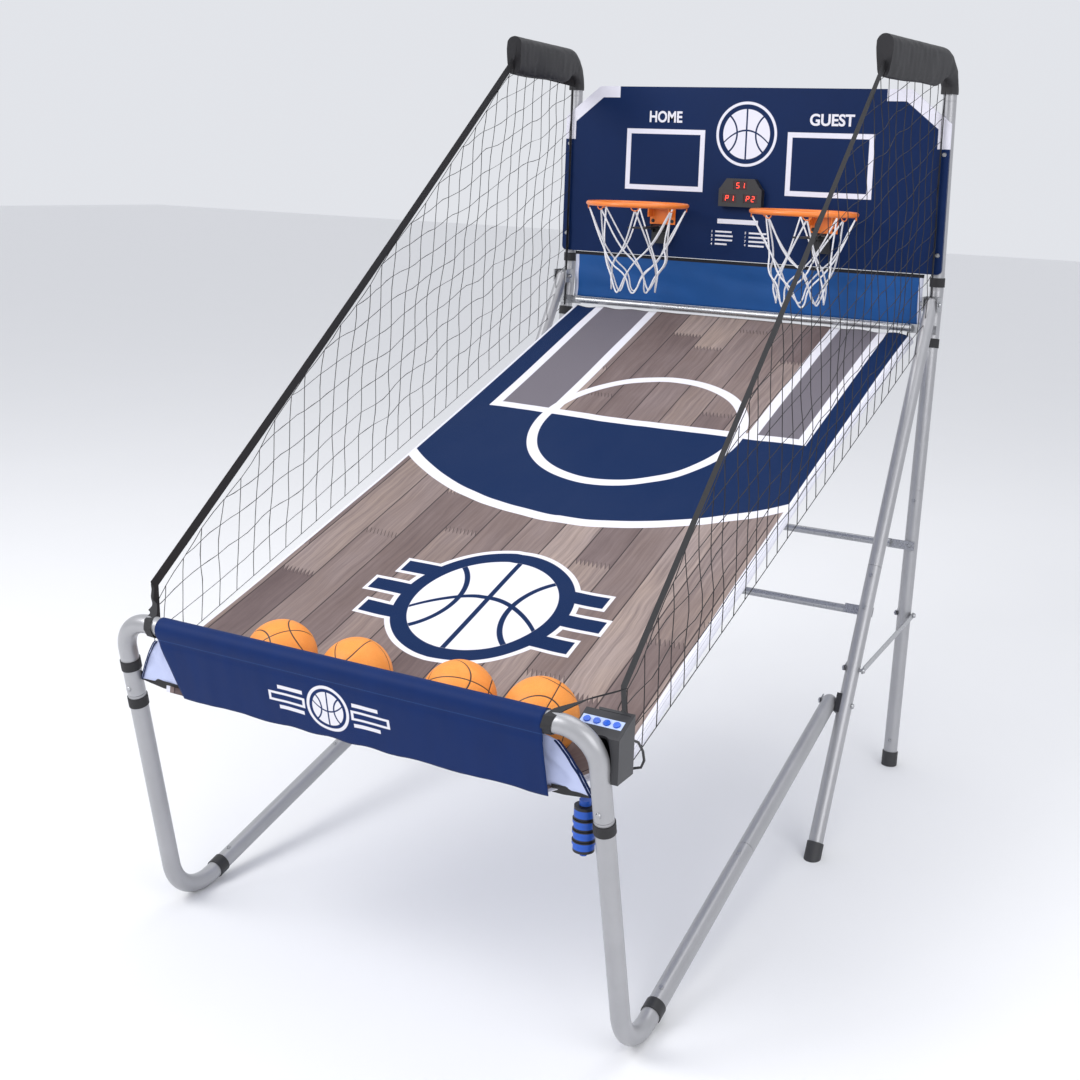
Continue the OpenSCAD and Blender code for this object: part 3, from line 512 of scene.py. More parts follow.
def ballLines(x, y, centre, radius, width):   # distance to the seams drawn on a flat ball
    dx, dy = (x - centre[0]) / radius, (y - centre[1]) / radius
    half = width / radius / 2
    curve = (dx * dx) * 0.55
    leftArc = abs(((dx + 1.35) ** 2 + dy ** 2).root() - 0.95)
    rightArc = abs(((dx - 1.35) ** 2 + dy ** 2).root() - 0.95)
    return (abs(dx).lesser(abs(dy + curve - 0.15)).lesser(leftArc).lesser(rightArc) - half) * radius


def courtRule(place):
    x, y, unused = place.axes()
    wood, fibre = plankColour(place, x, y)
    arc = circleThrough(*ramp["arc"])
    arcGap = ringAround(x, y, arc[:2], arc[2])
    low, high = ramp["keyOuter"]
    inLow, inHigh = ramp["keyInner"]
    keyMid, keyHalf = (low + high) / 2, (high - low) / 2
    innerMid, innerHalf = (inLow + inHigh) / 2, (inHigh - inLow) / 2
    foot, line = ramp["keyFoot"], ramp["line"] / 2
    outKey = (abs(x - keyMid) - keyHalf).greater(foot - y)
    inKey = (abs(x - innerMid) - innerHalf).greater(foot - y)
    behindArc = arcGap if arc[1] > 0 else -1 * arcGap
    colour = behindArc.inside().mix(wood, paint["courtNavy"])
    colour = outKey.inside().mix(colour, paint["grey"])
    colour = inKey.inside().mix(colour, wood)
    circle = ramp["circle"]
    keyEdge = abs(abs(x - keyMid) - keyHalf).greater(foot - y)
    innerEdge = abs(abs(x - innerMid) - innerHalf).greater(foot - y)
    footEdge = abs(y - foot).greater(abs(x - keyMid) - keyHalf)
    lines = keyEdge.lesser(innerEdge).lesser(footEdge) - line
    lines = lines.lesser(abs(ringAround(x, y, circle[:2], circle[2])) - line)
    lines = lines.lesser(abs(arcGap) - ramp["arcLine"] / 2)
    colour = lines.inside().mix(colour, paint["white"])
    cx, cy = ramp["badge"]
    side = abs(x - cx)
    bars = slab(side, y, (0.2, cy + 0.085), (0.062, 0.021))
    bars = bars.lesser(slab(side, y, (0.2, cy), (0.095, 0.021))).lesser(slab(side, y, (0.2, cy - 0.085),
                                                                          (0.062, 0.021)))
    disc = ringAround(x, y, (cx, cy), 0.205)
    colour = (bars - 0.009).lesser(disc - 0.012).inside().mix(colour, paint["white"])
    colour = bars.lesser(disc).inside().mix(colour, paint["courtNavy"])
    ball = ringAround(x, y, (cx, cy), 0.168)
    colour = ball.inside().mix(colour, paint["white"])
    colour = ballLines(x, y, (cx, cy), 0.168, 0.013).greater(ball).inside().mix(colour, paint["courtNavy"])
    hem = abs(x) - 0.531
    colour = hem.inside().mix((0.80, 0.80, 0.88), colour)
    stitch = abs(abs(abs(x) - 0.5435) - 0.003).greater(abs((y / 0.006).part() - 0.5) * 0.006 - 0.002) - 0.0006
    colour = (stitch.inside(0.0003) * 0.6).mix(colour, (0.22, 0.22, 0.28))
    weave = threads(x, y, 0.0012)
    crease = place.spread(x * 1.4, y, 0.0).grain(5.0, 5.0, 0.5)
    dust = place.grain(3.0, 5.0, 0.6)
    shade = (dust * 0.03).mix(colour, (0.5, 0.5, 0.55))
    return {"Base_Color": shade, "Roughness": dust * 0.15 + weave * 0.1 + 0.50,
            "Normal": (weave * 0.15 + crease * 3.0 - hem.fade(0, 0.0012) * 0.4 - stitch.inside(0.0004)
                       * 0.3).bump(0.28, 0.002)}


courtPrint = finish("courtPrint", courtRule, "uv", Specular_IOR_Level=0.07)
liningCloth = finish("liningCloth", clothRule((0.55, 0.57, 0.68)), "uv")


def rampWidth(t):
    reach = t * ramp["length"]
    base = ramp["halfWidth"]
    if reach < ramp["shoulder"]:
        base = ramp["frontHalf"] + (ramp["halfWidth"] - ramp["frontHalf"]) * reach / ramp["shoulder"]
    span = max(0.0, (reach - ramp["shoulder"]) / (ramp["length"] - ramp["shoulder"]))
    return base - ramp["scallop"] * math.sin(math.pi * span) ** 0.8


def rampPlace(u, v):
    side = (u - 0.5) * 2
    flatHalf = ramp["halfWidth"] + ramp["fold"]
    cut = side * flatHalf
    half = rampWidth(v)
    top = min(abs(cut) / ramp["halfWidth"], 1) * half
    drop = max(0.0, abs(cut) - ramp["halfWidth"]) * min(1.0, v * ramp["length"] / 0.15)
    y = rampFront[0] + v * ramp["length"] * math.cos(rampSlope)
    z = rampZ(y) + 0.0006
    bow = math.sin(math.pi * v)
    z -= ramp["sag"] * bow * (1 - 0.62 * min(1, abs(side)) ** 2)
    p = Vector((side * 2.1, v * 5.0, 0.0))
    pull = Vector((side * 3.3 + v * 2.4 * (1 if side > 0 else -1), v * 3.0, 4.0))
    rough = min(1, v * 12) * min(1, (1 - v) * 14)
    z += rough * (noise.noise(p) * 0.0030 + noise.noise(pull * 2.3) * 0.0017)
    rear = math.exp(-(1 - v) * 16) * abs(side) ** 2
    z -= rear * 0.004 * (1 + math.sin(side * 34))
    sign = 1 if side >= 0 else -1
    return Vector((sign * (top + drop * 0.22), y, z - drop * 0.94))


def rampFlat(u, v):
    cut = (u - 0.5) * 2 * (ramp["halfWidth"] + ramp["fold"])
    return cut, (rampFront[0] + v * ramp["length"] * math.cos(rampSlope)) * slopeScale


rampCloth = addPiece("rampCloth", bentGrid(96, 190, rampPlace, rampFlat), "rear_frame",
                     [courtPrint, liningCloth], 60)
thicken(rampCloth, 0.0009, 0.0, True)
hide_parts("ramp")
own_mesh(rampCloth)
print("ramp done")

# ---- front panel and gussets ----
panel = {"topLeft": -0.440, "topRight": 0.452, "lowLeft": -0.392, "lowRight": 0.4525, "drop": 0.142,
         "roll": 0.0206, "badge": (-0.018, 0.108)}


def panelRule(place):
    x, y, unused = place.axes()
    cx, cy = panel["badge"]
    side = abs(x - cx)
    ring = abs(ringAround(x, y, (cx, cy), 0.046)) - 0.0032
    ball = ringAround(x, y, (cx, cy), 0.036)
    bars = slab(side, y, (0.098, cy), (0.044, 0.0105))
    bars = bars.lesser(slab(side, y, (0.088, cy - 0.022), (0.030, 0.004)))
    bars = bars.lesser(slab(side, y, (0.088, cy + 0.022), (0.030, 0.004)))
    inner = slab(side, y, (0.098, cy), (0.038, 0.0055))
    mark = ring.lesser(bars).inside(0.0005) * (1 - inner.inside(0.0005))
    mark = mark.greater(ball.inside(0.0005) * (1 - ballLines(x, y, (cx, cy), 0.036, 0.0034).inside(0.0005)))
    crease = place.spread(x * 2.0, y * 0.6, 0.0).grain(9.0, 5.0, 0.55)
    # navy follows the crease bump: painted shade in the fold troughs and painted light on the ridges
    base = crease.mix(tuple(c * 0.85 for c in paint["navy"]), tuple(c * 1.25 for c in paint["navy"]))
    stitch = abs(y - 0.047).greater(abs((x / 0.006).part() - 0.5) * 0.006 - 0.002) - 0.0006
    base = (stitch.inside(0.0003) * 0.7).mix(base, (0.03, 0.09, 0.28))
    weave = threads(x, y, 0.0011)
    return {"Base_Color": mark.mix(base, paint["white"]), "Roughness": weave * 0.12 + crease * 0.1 + 0.44,
            "Normal": (weave * 0.2 + crease * 2.0 - stitch.inside(0.0004) * 0.4).bump(0.25, 0.0016)}


panelCloth = finish("panelCloth", panelRule, "uv", Specular_IOR_Level=0.16)
rollArc = math.radians(215)


def panelPlace(u, v):
    length = panel["roll"] * rollArc + panel["drop"]
    reach = v * length
    arc = panel["roll"] * rollArc
    bar = Vector((0, *barAxis))
    if reach < arc:
        angle = (arc - reach) / panel["roll"]
        spot = bar - leanIn * (math.cos(angle) * panel["roll"]) + leanUp * (math.sin(angle) * panel["roll"])
        share = 0.0
    else:
        share = (reach - arc) / panel["drop"]
        dent = 0.0018 * math.exp(-((share - 0.14) / 0.05) ** 2)
        belly = 0.004 * math.sin(math.pi * share)
        spot = bar - leanIn * (panel["roll"] + 0.0004 + belly * 0.4 - dent) - leanUp * (reach - arc)
    left = panel["topLeft"] * (1 - share) + panel["lowLeft"] * share
    right = panel["topRight"] * (1 - share) + panel["lowRight"] * share
    x = left + (right - left) * u
    wave = noise.noise(Vector((x * 9, share * 2.0, 2.0))) * 0.0016
    wave += noise.noise(Vector((x * 40, share, 5.0))) * 0.0005
    ripple = math.sin(x * 52 + 2 * math.sin(x * 11)) * 0.0016 * share ** 2
    return Vector((x, 0, 0)) + spot - leanIn * (wave * min(1, share * 4)) - leanUp * ripple


def panelFlat(u, v):
    p = panelPlace(u, v)
    arc = panel["roll"] * rollArc
    return p.x, v * (arc + panel["drop"]) - arc + 0.032


frontPanel = addPiece("frontPanel", bentGrid(150, 44, panelPlace, panelFlat), "front_frame",
                      [panelCloth], 60)
thicken(frontPanel, 0.0009)
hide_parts("front_panel")

gussetCloth = finish("gussetCloth", clothRule(paint["lavender"], 0.0010, 0.07, 0.6), "uv", Sheen_Weight=0.1)
navyTape = finish("navyTape", clothRule((0.003, 0.014, 0.070), 0.0009), "uv", Specular_IOR_Level=0.2)


def onFront(x, drop, back=0.0):   # a place on the front frame's plane, measured down from the bar
    return Vector((x, 0, 0)) + Vector((0, *barAxis)) - leanUp * drop + leanIn * back


def gussetPlace(sign):
    def place(u, v):
        left = onFront(0.424, 0.026 + 0.113 * v, 0.002)
        right = onFront(0.466 + 0.062 * v ** 0.8, 0.037 + 0.102 * v, 0.002)
        spot = left.lerp(right, u)
        pucker = noise.noise(Vector((u * 3, v * 4, sign * 3))) * 0.004
        spot += leanIn * (pucker + 0.003 * math.sin(math.pi * u) * v)
        return Vector((spot.x * sign, spot.y, spot.z))
    return place


for sign, side in ((-1, "Left"), (1, "Right")):
    shape = bentGrid(20, 26, gussetPlace(sign), lambda u, v: (u * 0.09, v * 0.115))
    gusset = addPiece("gusset" + side, shape, "front_frame", [gussetCloth], 60)
    thicken(gusset, 0.0009)
    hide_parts("tray_gussets")
    rim = [gussetPlace(sign)(1, v / 12) for v in range(13)]
    binding = strapMesh(rim, [Vector((sign, 0.4, 0.15))] * 13, [0.009] * 13, 0.0022, 24)
    edge = addPiece("gussetBinding" + side, binding, "front_frame", [navyTape])
    foot = [onFront(sign * (0.385 if sign < 0 else 0.448), 0.139, 0.000), onFront(sign * 0.47, 0.141, 0.003),
            onFront(sign * 0.512, 0.137, 0.006), onFront(sign * 0.533, 0.130, 0.004)]
    webbing = strapMesh(foot, [leanUp] * 4, [0.015, 0.016, 0.018, 0.020], 0.002, 24)
    strap = addPiece("trayStrap" + side, webbing, "front_frame", [blackWebbing])
print("tray cloth done")

# ---- rear panel ----
rearLow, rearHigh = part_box("rear_panel")
rear = {"hem": 0.012, "topEdge": 0.010}


def rearRule(place):
    x, y, unused = place.axes()
    w, h = (rearHigh.x - rearLow.x) / 2, rearHigh.z - rearLow.z
    crease = place.spread(x + y * 0.8, y * 0.7 - x * 0.3, 0.0).grain(6.0, 5.0, 0.5)
    # royal blue follows the crease bump: painted shade in the fold troughs and painted light on the ridges
    base = crease.mix(tuple(c * 0.75 for c in paint["royal"]), tuple(c * 1.3 for c in paint["royal"]))
    sides = abs(x) - (w - rear["hem"])
    base = sides.inside().mix((0.60, 0.62, 0.74), base)
    top = (h - rear["topEdge"]) - y
    base = top.inside().mix(base, (0.012, 0.012, 0.016))
    weave = threads(x, y, 0.0011)
    return {"Base_Color": base, "Roughness": weave * 0.12 + crease * 0.1 + 0.42,
            "Normal": (weave * 0.2 + crease * 3.2).bump(0.4, 0.0022)}


rearCloth = finish("rearCloth", rearRule, "uv", Specular_IOR_Level=0.2)


def rearPlace(u, v):
    w = (rearHigh.x - rearLow.x)
    x = rearLow.x + u * w
    z = rearLow.z + v * (rearHigh.z - rearLow.z)
    middle = math.sin(math.pi * v)
    fold = math.sin((x * 1.3 + v * 0.25) * 14 + 1.2 * math.sin(x * 7)) * 0.0022
    fold += noise.noise(Vector((x * 5 + v * 1.5, v * 2.5, 1.0))) * 0.006
    y = (rearLow.y + rearHigh.y) / 2 + fold * (0.35 + 0.65 * middle)
    return Vector((x + (u - 0.5) * -0.006 * middle, y, z))


def rearFlat(u, v):
    return (u - 0.5) * (rearHigh.x - rearLow.x), v * (rearHigh.z - rearLow.z)


rearPanel = addPiece("rearPanel", bentGrid(110, 24, rearPlace, rearFlat), "rear_frame",
                     [rearCloth], 60)
thicken(rearPanel, 0.0009)
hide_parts("rear_panel")

# ---- arm sleeves ----
armZ, armReach, armBend = 1.992, 0.490, 0.095
armToe, uprightX, kinkY = math.radians(6), 0.590, 0.996794
sleeve = {"radius": 0.0222, "skirt": 0.086, "tail": 0.010}


def armPath(s):   # place along the arm from its tip to a point down the upright, and the inward side
    straight = armReach - armBend
    bend = armBend * math.pi / 2
    if s < straight:
        return Vector((-armReach + s, 0, armZ)), Vector((0, 0, -1))
    if s < straight + bend:
        a = (s - straight) / armBend
        return Vector((-armBend + armBend * math.sin(a), 0, armZ - armBend + armBend * math.cos(a))), \
            Vector((-math.sin(a), 0, -math.cos(a)))
    return Vector((0, 0, armZ - armBend - (s - straight - bend))), Vector((-1, 0, 0))


def sleevePlace(sign):
    ahead = Vector((math.sin(armToe) * sign, math.cos(armToe), 0))    # from the tip towards the upright
    out = Vector((math.cos(armToe), -math.sin(armToe) * sign, 0))
    start = Vector((sign * uprightX, kinkY, 0))
    total = armReach - armBend + armBend * math.pi / 2 + sleeve["tail"]

    def place(u, v):
        s = -0.004 + v * total
        spot, inward = armPath(max(s, 0))
        spot = spot + Vector((min(s, 0), 0, 0))
        straight = armReach - armBend
        depth = sleeve["skirt"]
        if s > straight * 0.93:
            depth *= max(0.0, 1 - (s - straight * 0.93) / (armBend * 2.05)) ** 0.8
        depth = max(depth, sleeve["radius"] + 0.001)
        depth += 0.002 * math.sin(s * 17) * (1 if s < straight else 0)
        angle = (u - 0.5) * 2 * math.pi
        down = math.cos(angle)    # 1 is over the arm, -1 is the hem
        wide = math.sin(angle)
        r = sleeve["radius"]
        if down >= 0:
            local, sideways = -down * r, wide * r
        else:
            share = -down
            local = depth * share
            sideways = r * (1 if wide > 0 else -1) * (1 - min(1, share) ** 7) ** 0.4 * (1 - 0.25 * share)
            sideways += (0.0014 if wide > 0 else -0.0014)
        crumple = noise.noise(Vector((s * 12 + sign * 5, u * 5, 3.0))) * 0.0030 * (0.3 + max(0, -down))
        crumple += noise.noise(Vector((s * 42, u * 12, sign * 7.0))) * 0.0016
        core = spot + inward * local
        flat = start + ahead * core.x + Vector((0, 0, core.z))
        return flat + out * (sideways + crumple * (1 if wide > 0 else -1))
    return place, total


sleeveCloth = finish("sleeveCloth", clothRule((0.016, 0.0155, 0.018), 0.0010, 0.35, 0.55), "uv")
for sign, side in ((-1, "Left"), (1, "Right")):
    place, total = sleevePlace(sign)
    shape = bentGrid(40, 110, place, lambda u, v: (u * 0.21, v * 0.62))
    bmesh.ops.remove_doubles(shape, verts=shape.verts, dist=0.00005)
    holes = [e for e in shape.edges if e.is_boundary]
    bmesh.ops.holes_fill(shape, edges=holes, sides=0)
    bmesh.ops.recalc_face_normals(shape, faces=shape.faces[:])
    piece = addPiece("armSleeve" + side, shape, "rear_frame", [sleeveCloth], 50)
    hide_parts("arm_sleeves")
print("sleeves done")

# ---- side nets ----
net = {"pitchY": 0.059, "pitchZ": 0.0605, "cord": 0.0021, "plane": 0.550, "front": -0.901, "tipY": 0.513,
       "top": 1.930, "rearY": 0.957, "gap": 0.006, "tape": 0.024, "flare": 0.034, "armRoot": 0.997}
netBlack = finish("netBlack", webbingRule)


def netX(sign, y, z):
    low = net["plane"] + net["flare"] * (y - net["front"]) / (net["rearY"] - net["front"])
    high = uprightX - (net["armRoot"] - y) * math.tan(armToe)
    lift = min(1.0, max(0.0, (z - rampZ(y)) / (net["top"] - rampZ(y))))
    return sign * (low + (high - low) * lift ** 2)


def netMesh(sign):
    shape = bmesh.new()
    columns = int((net["rearY"] - net["front"]) / net["pitchY"]) + 2
    rows = int(1.45 / net["pitchZ"]) + 2
    bmesh.ops.create_grid(shape, x_segments=columns, y_segments=rows, size=0.5)
    random.seed(7 + sign)
    for vert in shape.verts:
        a = round((vert.co.x + 0.5) * columns)
        b = round((vert.co.y + 0.5) * rows)
        y = net["rearY"] - a * net["pitchY"]
        z = rampZ(y) - net["gap"] + b * net["pitchZ"]
        vert.co = Vector((0, y, z))
    front = Vector((0, net["tipY"], net["top"])) - Vector((0, net["front"], rampZ(net["front"]) + 0.13))
    cuts = [((0, net["tipY"] + 0.004, net["top"]), Vector((0, -front.z, front.y))),
            ((0, 0, net["top"] + 0.004), Vector((0, 0, 1))), ((0, net["front"], 0), Vector((0, -1, 0)))]
    for spot, normal in cuts:
        bmesh.ops.bisect_plane(shape, geom=shape.verts[:] + shape.edges[:] + shape.faces[:], dist=0.0001,
                               plane_co=spot, plane_no=normal, clear_outer=True)
    bmesh.ops.subdivide_edges(shape, edges=shape.edges[:], cuts=1)
    for vert in shape.verts:
        y, z = vert.co.y, vert.co.z
        loose = min(1.0, max(0.0, (net["top"] - z) * 9)) * min(1.0, max(0.0, (z - rampZ(y)) * 9))
        wob = Vector((noise.noise(Vector((y * 6, z * 6, sign))),
                      noise.noise(Vector((y * 9, z * 9, 5 + sign))),
                      noise.noise(Vector((y * 9, z * 9, 9 + sign)))))
        vert.co = Vector((netX(sign, y, z) + wob.x * 0.010 * loose, y + wob.y * 0.012 * loose,
                          z + wob.z * 0.012 * loose + random.uniform(-0.0012, 0.0012) * loose))
    return shape


for sign, side in ((-1, "Left"), (1, "Right")):
    shape = netMesh(sign)
    piece = addPiece("sideNet" + side, shape, "rear_frame", [netBlack], 180)
    wire = piece.modifiers.new("cords", "WIREFRAME")
    wire.thickness, wire.use_even_offset, wire.use_boundary = net["cord"], False, True
    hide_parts("side_net_left" if sign < 0 else "side_net_right")
    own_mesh(piece)
print("side nets done")


def tapePiece(name, body, points, sides, widths, squashed=True, thickness=0.0018):
    shape = strapMesh(points, sides, widths, thickness, 40)
    tape = addPiece(name, shape, body, [blackWebbing])
    if squashed:
        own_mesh(tape)
    return tape


for sign, side in ((-1, "Left"), (1, "Right")):
    tip = Vector((sign * 0.5405, net["tipY"] - 0.006, net["top"] + 0.012))
    split = Vector((sign * 0.551, -0.906, 0.742))
    run = split - tip
    across = Vector((0, -run.z, run.y))
    points = [tip.lerp(split, i / 10) - Vector((0, 0, 0.010 * math.sin(math.pi * i / 10))) for i in range(11)]
    tapePiece("frontTape" + side, "rear_frame", points, [across] * 11, [net["tape"]] * 11)
    hem = [split + Vector((0, 0.004, 0.006)), Vector((sign * 0.552, -0.892, 0.675)),
           Vector((sign * 0.551, -0.882, rampZ(-0.882) + 0.004))]
    tapePiece("hemStrap" + side, "rear_frame", hem, [Vector((0, 1, 0.1))] * 3, [0.022, 0.016, 0.007])
    rearRun = [Vector((netX(sign, 0.957, z), 0.958, z)) for z in (rampZ(0.93) + 0.004, 1.30, 1.62, 1.895)]
    tapePiece("rearTape" + side, "rear_frame", rearRun, [Vector((0, 1, 0))] * 4, [0.014] * 4, False)
    barY, barZ = barAxis
    wrap = [split, Vector((sign * 0.505, -0.958, 0.731)), Vector((sign * 0.470, barY + 0.008, barZ + 0.0215)),
            Vector((sign * 0.463, barY - 0.016, barZ + 0.0155)),
            Vector((sign * 0.460, barY - 0.0218, barZ - 0.001)),
            Vector((sign * 0.457, barY - 0.014, barZ - 0.0175)),
            Vector((sign * 0.455, barY + 0.006, barZ - 0.0225))]
    tapePiece("cornerStrap" + side, "front_frame", wrap, [Vector((sign * 0.7, 0.45, 0.3))] * 2
              + [Vector((1, 0.1 * sign, 0))] * 5, [0.020] * 7, False)
print("tapes done")

# ---- hoop nets ----
hoop = {"hooks": 8, "topZ": 1.5285, "levels": (0, 0.105, 0.152, 0.190), "tip": 0.236,
        "radii": (0.1425, 0.098, 0.084, 0.073, 0.064), "cord": 0.0024}
rimCentres = {-1: (-0.2575, 0.779294), 1: (0.2575, 0.779294)}


def cordRule(place):
    twist = (place.axes()[2] * 900 + place.axes()[0] * 900 + place.axes()[1] * 700).sine() * 0.5 + 0.5
    fuzz = place.grain(600.0, 3.0)
    return {"Base_Color": (twist * 0.4 + fuzz * 0.6).mix((0.60, 0.60, 0.64), (0.88, 0.88, 0.90)),
            "Roughness": fuzz * 0.2 + 0.6, "Normal": (twist + fuzz * 0.4).bump(0.5, 0.0008)}


netCord = finish("netCord", cordRule)


def hoopNetRuns(centre, seed):
    random.seed(seed)
    step = 2 * math.pi / hoop["hooks"]
    sway = {}
    runs = []

    def spot(angle, level, inset=0.0):
        key = (round(angle / step * 2) % (2 * hoop["hooks"]), level)
        if key not in sway:
            sway[key] = (random.uniform(-0.006, 0.006), random.uniform(-0.005, 0.005),
                         random.uniform(-0.09, 0.09))
        shake = sway[key] if level else (0, 0, 0)
        r = hoop["radii"][level] + shake[0] + inset
        drop = hoop["tip"] if level == 4 else hoop["levels"][level]
        a = angle + shake[2]
        return Vector((centre[0] + r * math.cos(a), centre[1] + r * math.sin(a),
                       hoop["topZ"] - drop + shake[1]))

    for k in range(hoop["hooks"]):
        a = (k + 0.5) * step
        down = [spot(a, 0) + Vector((0, 0, 0.004))] + [spot(a + i * step / 2, i, 0.0022) for i in (1, 2, 3)]
        tip = spot(a + 2 * step, 4)
        b = a + 4 * step
        up = [spot(b - i * step / 2, i, -0.0022) for i in (3, 2, 1)] + [spot(b, 0) + Vector((0, 0, 0.004))]
        side = Vector((-math.sin(a + 2 * step), math.cos(a + 2 * step), 0)) * 0.006
        runs.append(down + [tip - side, tip + Vector((0, 0, -0.004)), tip + side] + up)
    return runs


netShape = bmesh.new()
for sign in (-1, 1):
    merge(netShape, cordMesh(hoopNetRuns(rimCentres[sign], 11 + sign), hoop["cord"], 2, False, 5))
rimNets = addPiece("rimNets", netShape, "rear_frame", [netCord], 60)
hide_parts("rim_nets")
print("hoop nets done")

# ---- backboard print ----
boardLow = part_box("backboard")[0]
board = {"corner": 0.034, "line": 0.015, "squares": ((-0.2615, 1.682), (0.2615, 1.682)),
         "half": (0.1305, 0.093), "badge": (0.0015, 1.766)}


def boardRule(place):
    x, unused, z = place.axes()
    side = abs(x)
    bevel = (side - 0.490) * 0.629 + (z - 1.903) * 0.777
    edge = bevel.greater(z - 1.903).greater(side - 0.606) + board["corner"]
    reach = (0.421 - side).greater(1.738 - z)
    accent = (-1 * edge).greater(reach).inside()
    boxes = None
    for centre in board["squares"]:
        frameGap = abs(slab(x, z, centre, board["half"]) + board["line"] / 2) - board["line"] / 2
        boxes = frameGap if boxes is None else boxes.lesser(frameGap)
    cx, cz = board["badge"]
    ring = abs(ringAround(x, z, (cx, cz), 0.092)) - 0.004
    disc = ringAround(x, z, (cx, cz), 0.074)
    seams = ballLines(x, z, (cx, cz), 0.074, 0.0052)
    badge = ring.inside(0.0006).greater(disc.inside(0.0006) * (1 - seams.inside(0.0006)))
    mark = accent.greater(boxes.inside(0.0006)).greater(badge)
    haze = place.grain(3.0, 5.0, 0.6)
    weave = threads(x, z, 0.0014)
    base = haze.mix(tuple(c * 0.85 for c in paint["boardNavy"]), tuple(c * 1.3 for c in paint["boardNavy"]))
    return {"Base_Color": mark.mix(base, haze.mix((0.70, 0.69, 0.78), (0.78, 0.77, 0.85))),
            "Roughness": haze * 0.16 + weave * 0.06 + 0.34,
            "Normal": (weave * 0.25 + haze * 1.2).bump(0.12, 0.0015)}


boardPrint = finish("boardPrint", boardRule, Specular_IOR_Level=0.16)
paintNode(boardPrint, "backboard")
inkWhite = finish("inkWhite", plasticRule((0.74, 0.73, 0.80), 900.0, 0.4, 0.04))


def inkText(name, words, x, z, height, width=None, y=boardLow.y, depth=0.0006, made=None, body="rear_frame"):
    letters = bpy.data.curves.new("scratch", "FONT")
    letters.body, letters.align_x, letters.align_y = words, "CENTER", "CENTER"
    letters.extrude, letters.offset = 0.02, 0.028
    holder = bpy.data.objects.new("scratch", letters)
    scene.collection.objects.link(holder)
    data = bpy.data.meshes.new_from_object(holder.evaluated_get(bpy.context.evaluated_depsgraph_get()))
    shape = bmesh.new()
    shape.from_mesh(data)
    bpy.data.objects.remove(holder)
    bpy.data.curves.remove(letters)
    bpy.data.meshes.remove(data)
    xs = [v.co.x for v in shape.verts]
    ys = [v.co.y for v in shape.verts]
    tall = height / (max(ys) - min(ys))
    wide = width / (max(xs) - min(xs)) if width else tall
    midX, midY = (max(xs) + min(xs)) / 2, (max(ys) + min(ys)) / 2
    for v in shape.verts:
        v.co = Vector((x + (v.co.x - midX) * wide, y - 0.0004 - (v.co.z + 0.02) * depth / 0.04,
                       z + (v.co.y - midY) * tall))
    bmesh.ops.remove_doubles(shape, verts=shape.verts, dist=0.00001)
    bmesh.ops.recalc_face_normals(shape, faces=shape.faces[:])
    return addPiece(name, shape, body, [made or inkWhite], 30)


inkText("wordHome", "HOME", -0.2625, 1.8125, 0.035, 0.109)
inkText("wordGuest", "GUEST", 0.2635, 1.8125, 0.035, 0.134)
listShape = bmesh.new()
random.seed(5)
for row in range(4):
    for left in (-0.090, 0.018):
        z = 1.473 - row * 0.0125
        size = random.uniform(0.038, 0.062)
        bmesh.ops.create_cube(listShape, size=1, matrix=Matrix.Translation((left + 0.008 + size / 2,
                              boardLow.y - 0.0007, z)) @ Matrix.Diagonal((size, 0.0006, 0.0052, 1)))
bmesh.ops.create_cube(listShape, size=1, matrix=Matrix.Translation((-0.012, boardLow.y - 0.0007, 1.5045))
                      @ Matrix.Diagonal((0.130, 0.0006, 0.014, 1)))
addPiece("listBars", listShape, "rear_frame", [inkWhite])
for row in range(8):
    number = str(row + 1)
    inkText("listNumber" + number, number, -0.093 if row < 4 else 0.015, 1.473 - (row % 4) * 0.0125, 0.0072)
print("board print done")

# ---- score digits ----
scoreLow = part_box("score_windows")[0]
scoreZ = 1.592
segments = {"a": (0, 1, 1), "b": (1, 0.5, 0), "c": (1, -0.5, 0), "d": (0, -1, 1), "e": (-1, -0.5, 0),
            "f": (-1, 0.5, 0), "g": (0, 0, 1)}
digits = {"P": "abefg", "1": "bc", "2": "abged", "5": "afgcd"}


def glowRule(place):
    grain = place.grain(900.0, 2.0)
    return {"Base_Color": grain.mix((0.5, 0.01, 0.01), (0.8, 0.03, 0.02)), "Roughness": grain * 0.2 + 0.3,
            "Emission_Color": grain.mix((1.0, 0.03, 0.015), (1.0, 0.10, 0.05))}


ledGlow = finish("ledGlow", glowRule, Emission_Strength=2.6)
digitShape = bmesh.new()
for words, centre in (("P1", (-0.033, -0.017)), ("P2", (0.033, -0.017)), ("51", (0, 0.022))):
    for i, letter in enumerate(words):
        cx = centre[0] + (i - 0.5) * 0.0165
        for part in digits[letter]:
            dx, dz, flat = segments[part]
            long, thin = (0.0072, 0.0017) if flat else (0.0017, 0.0066)
            spot = (cx + dx * 0.0042 + dz * 0.0008, scoreLow.y - 0.0003, scoreZ + centre[1] + dz * 0.0076)
            bmesh.ops.create_cube(digitShape, size=1, matrix=Matrix.Translation(spot)
                                  @ Matrix.Diagonal((long, 0.0005, thin, 1)))
addPiece("scoreDigits", digitShape, "rear_frame", [ledGlow])

# ---- controller panel and pump ----
labelLow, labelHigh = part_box("controller_panel")
labelMid = (labelLow + labelHigh) / 2


def labelRule(place):
    x, y, z = place.axes()
    fine = place.grain(1200.0, 3.0)
    strip = slab(x, y, (labelMid.x, labelMid.y), (0.041, 0.0095)).inside(0.0004)
    return {"Base_Color": strip.mix((0.02, 0.02, 0.024), fine.mix((0.42, 0.52, 0.80), (0.52, 0.62, 0.88))),
            "Roughness": fine * 0.2 + 0.3,
            "Normal": fine.bump(0.1, 0.0003)}


paintNode(finish("ctrlLabel", labelRule), "controller_panel")


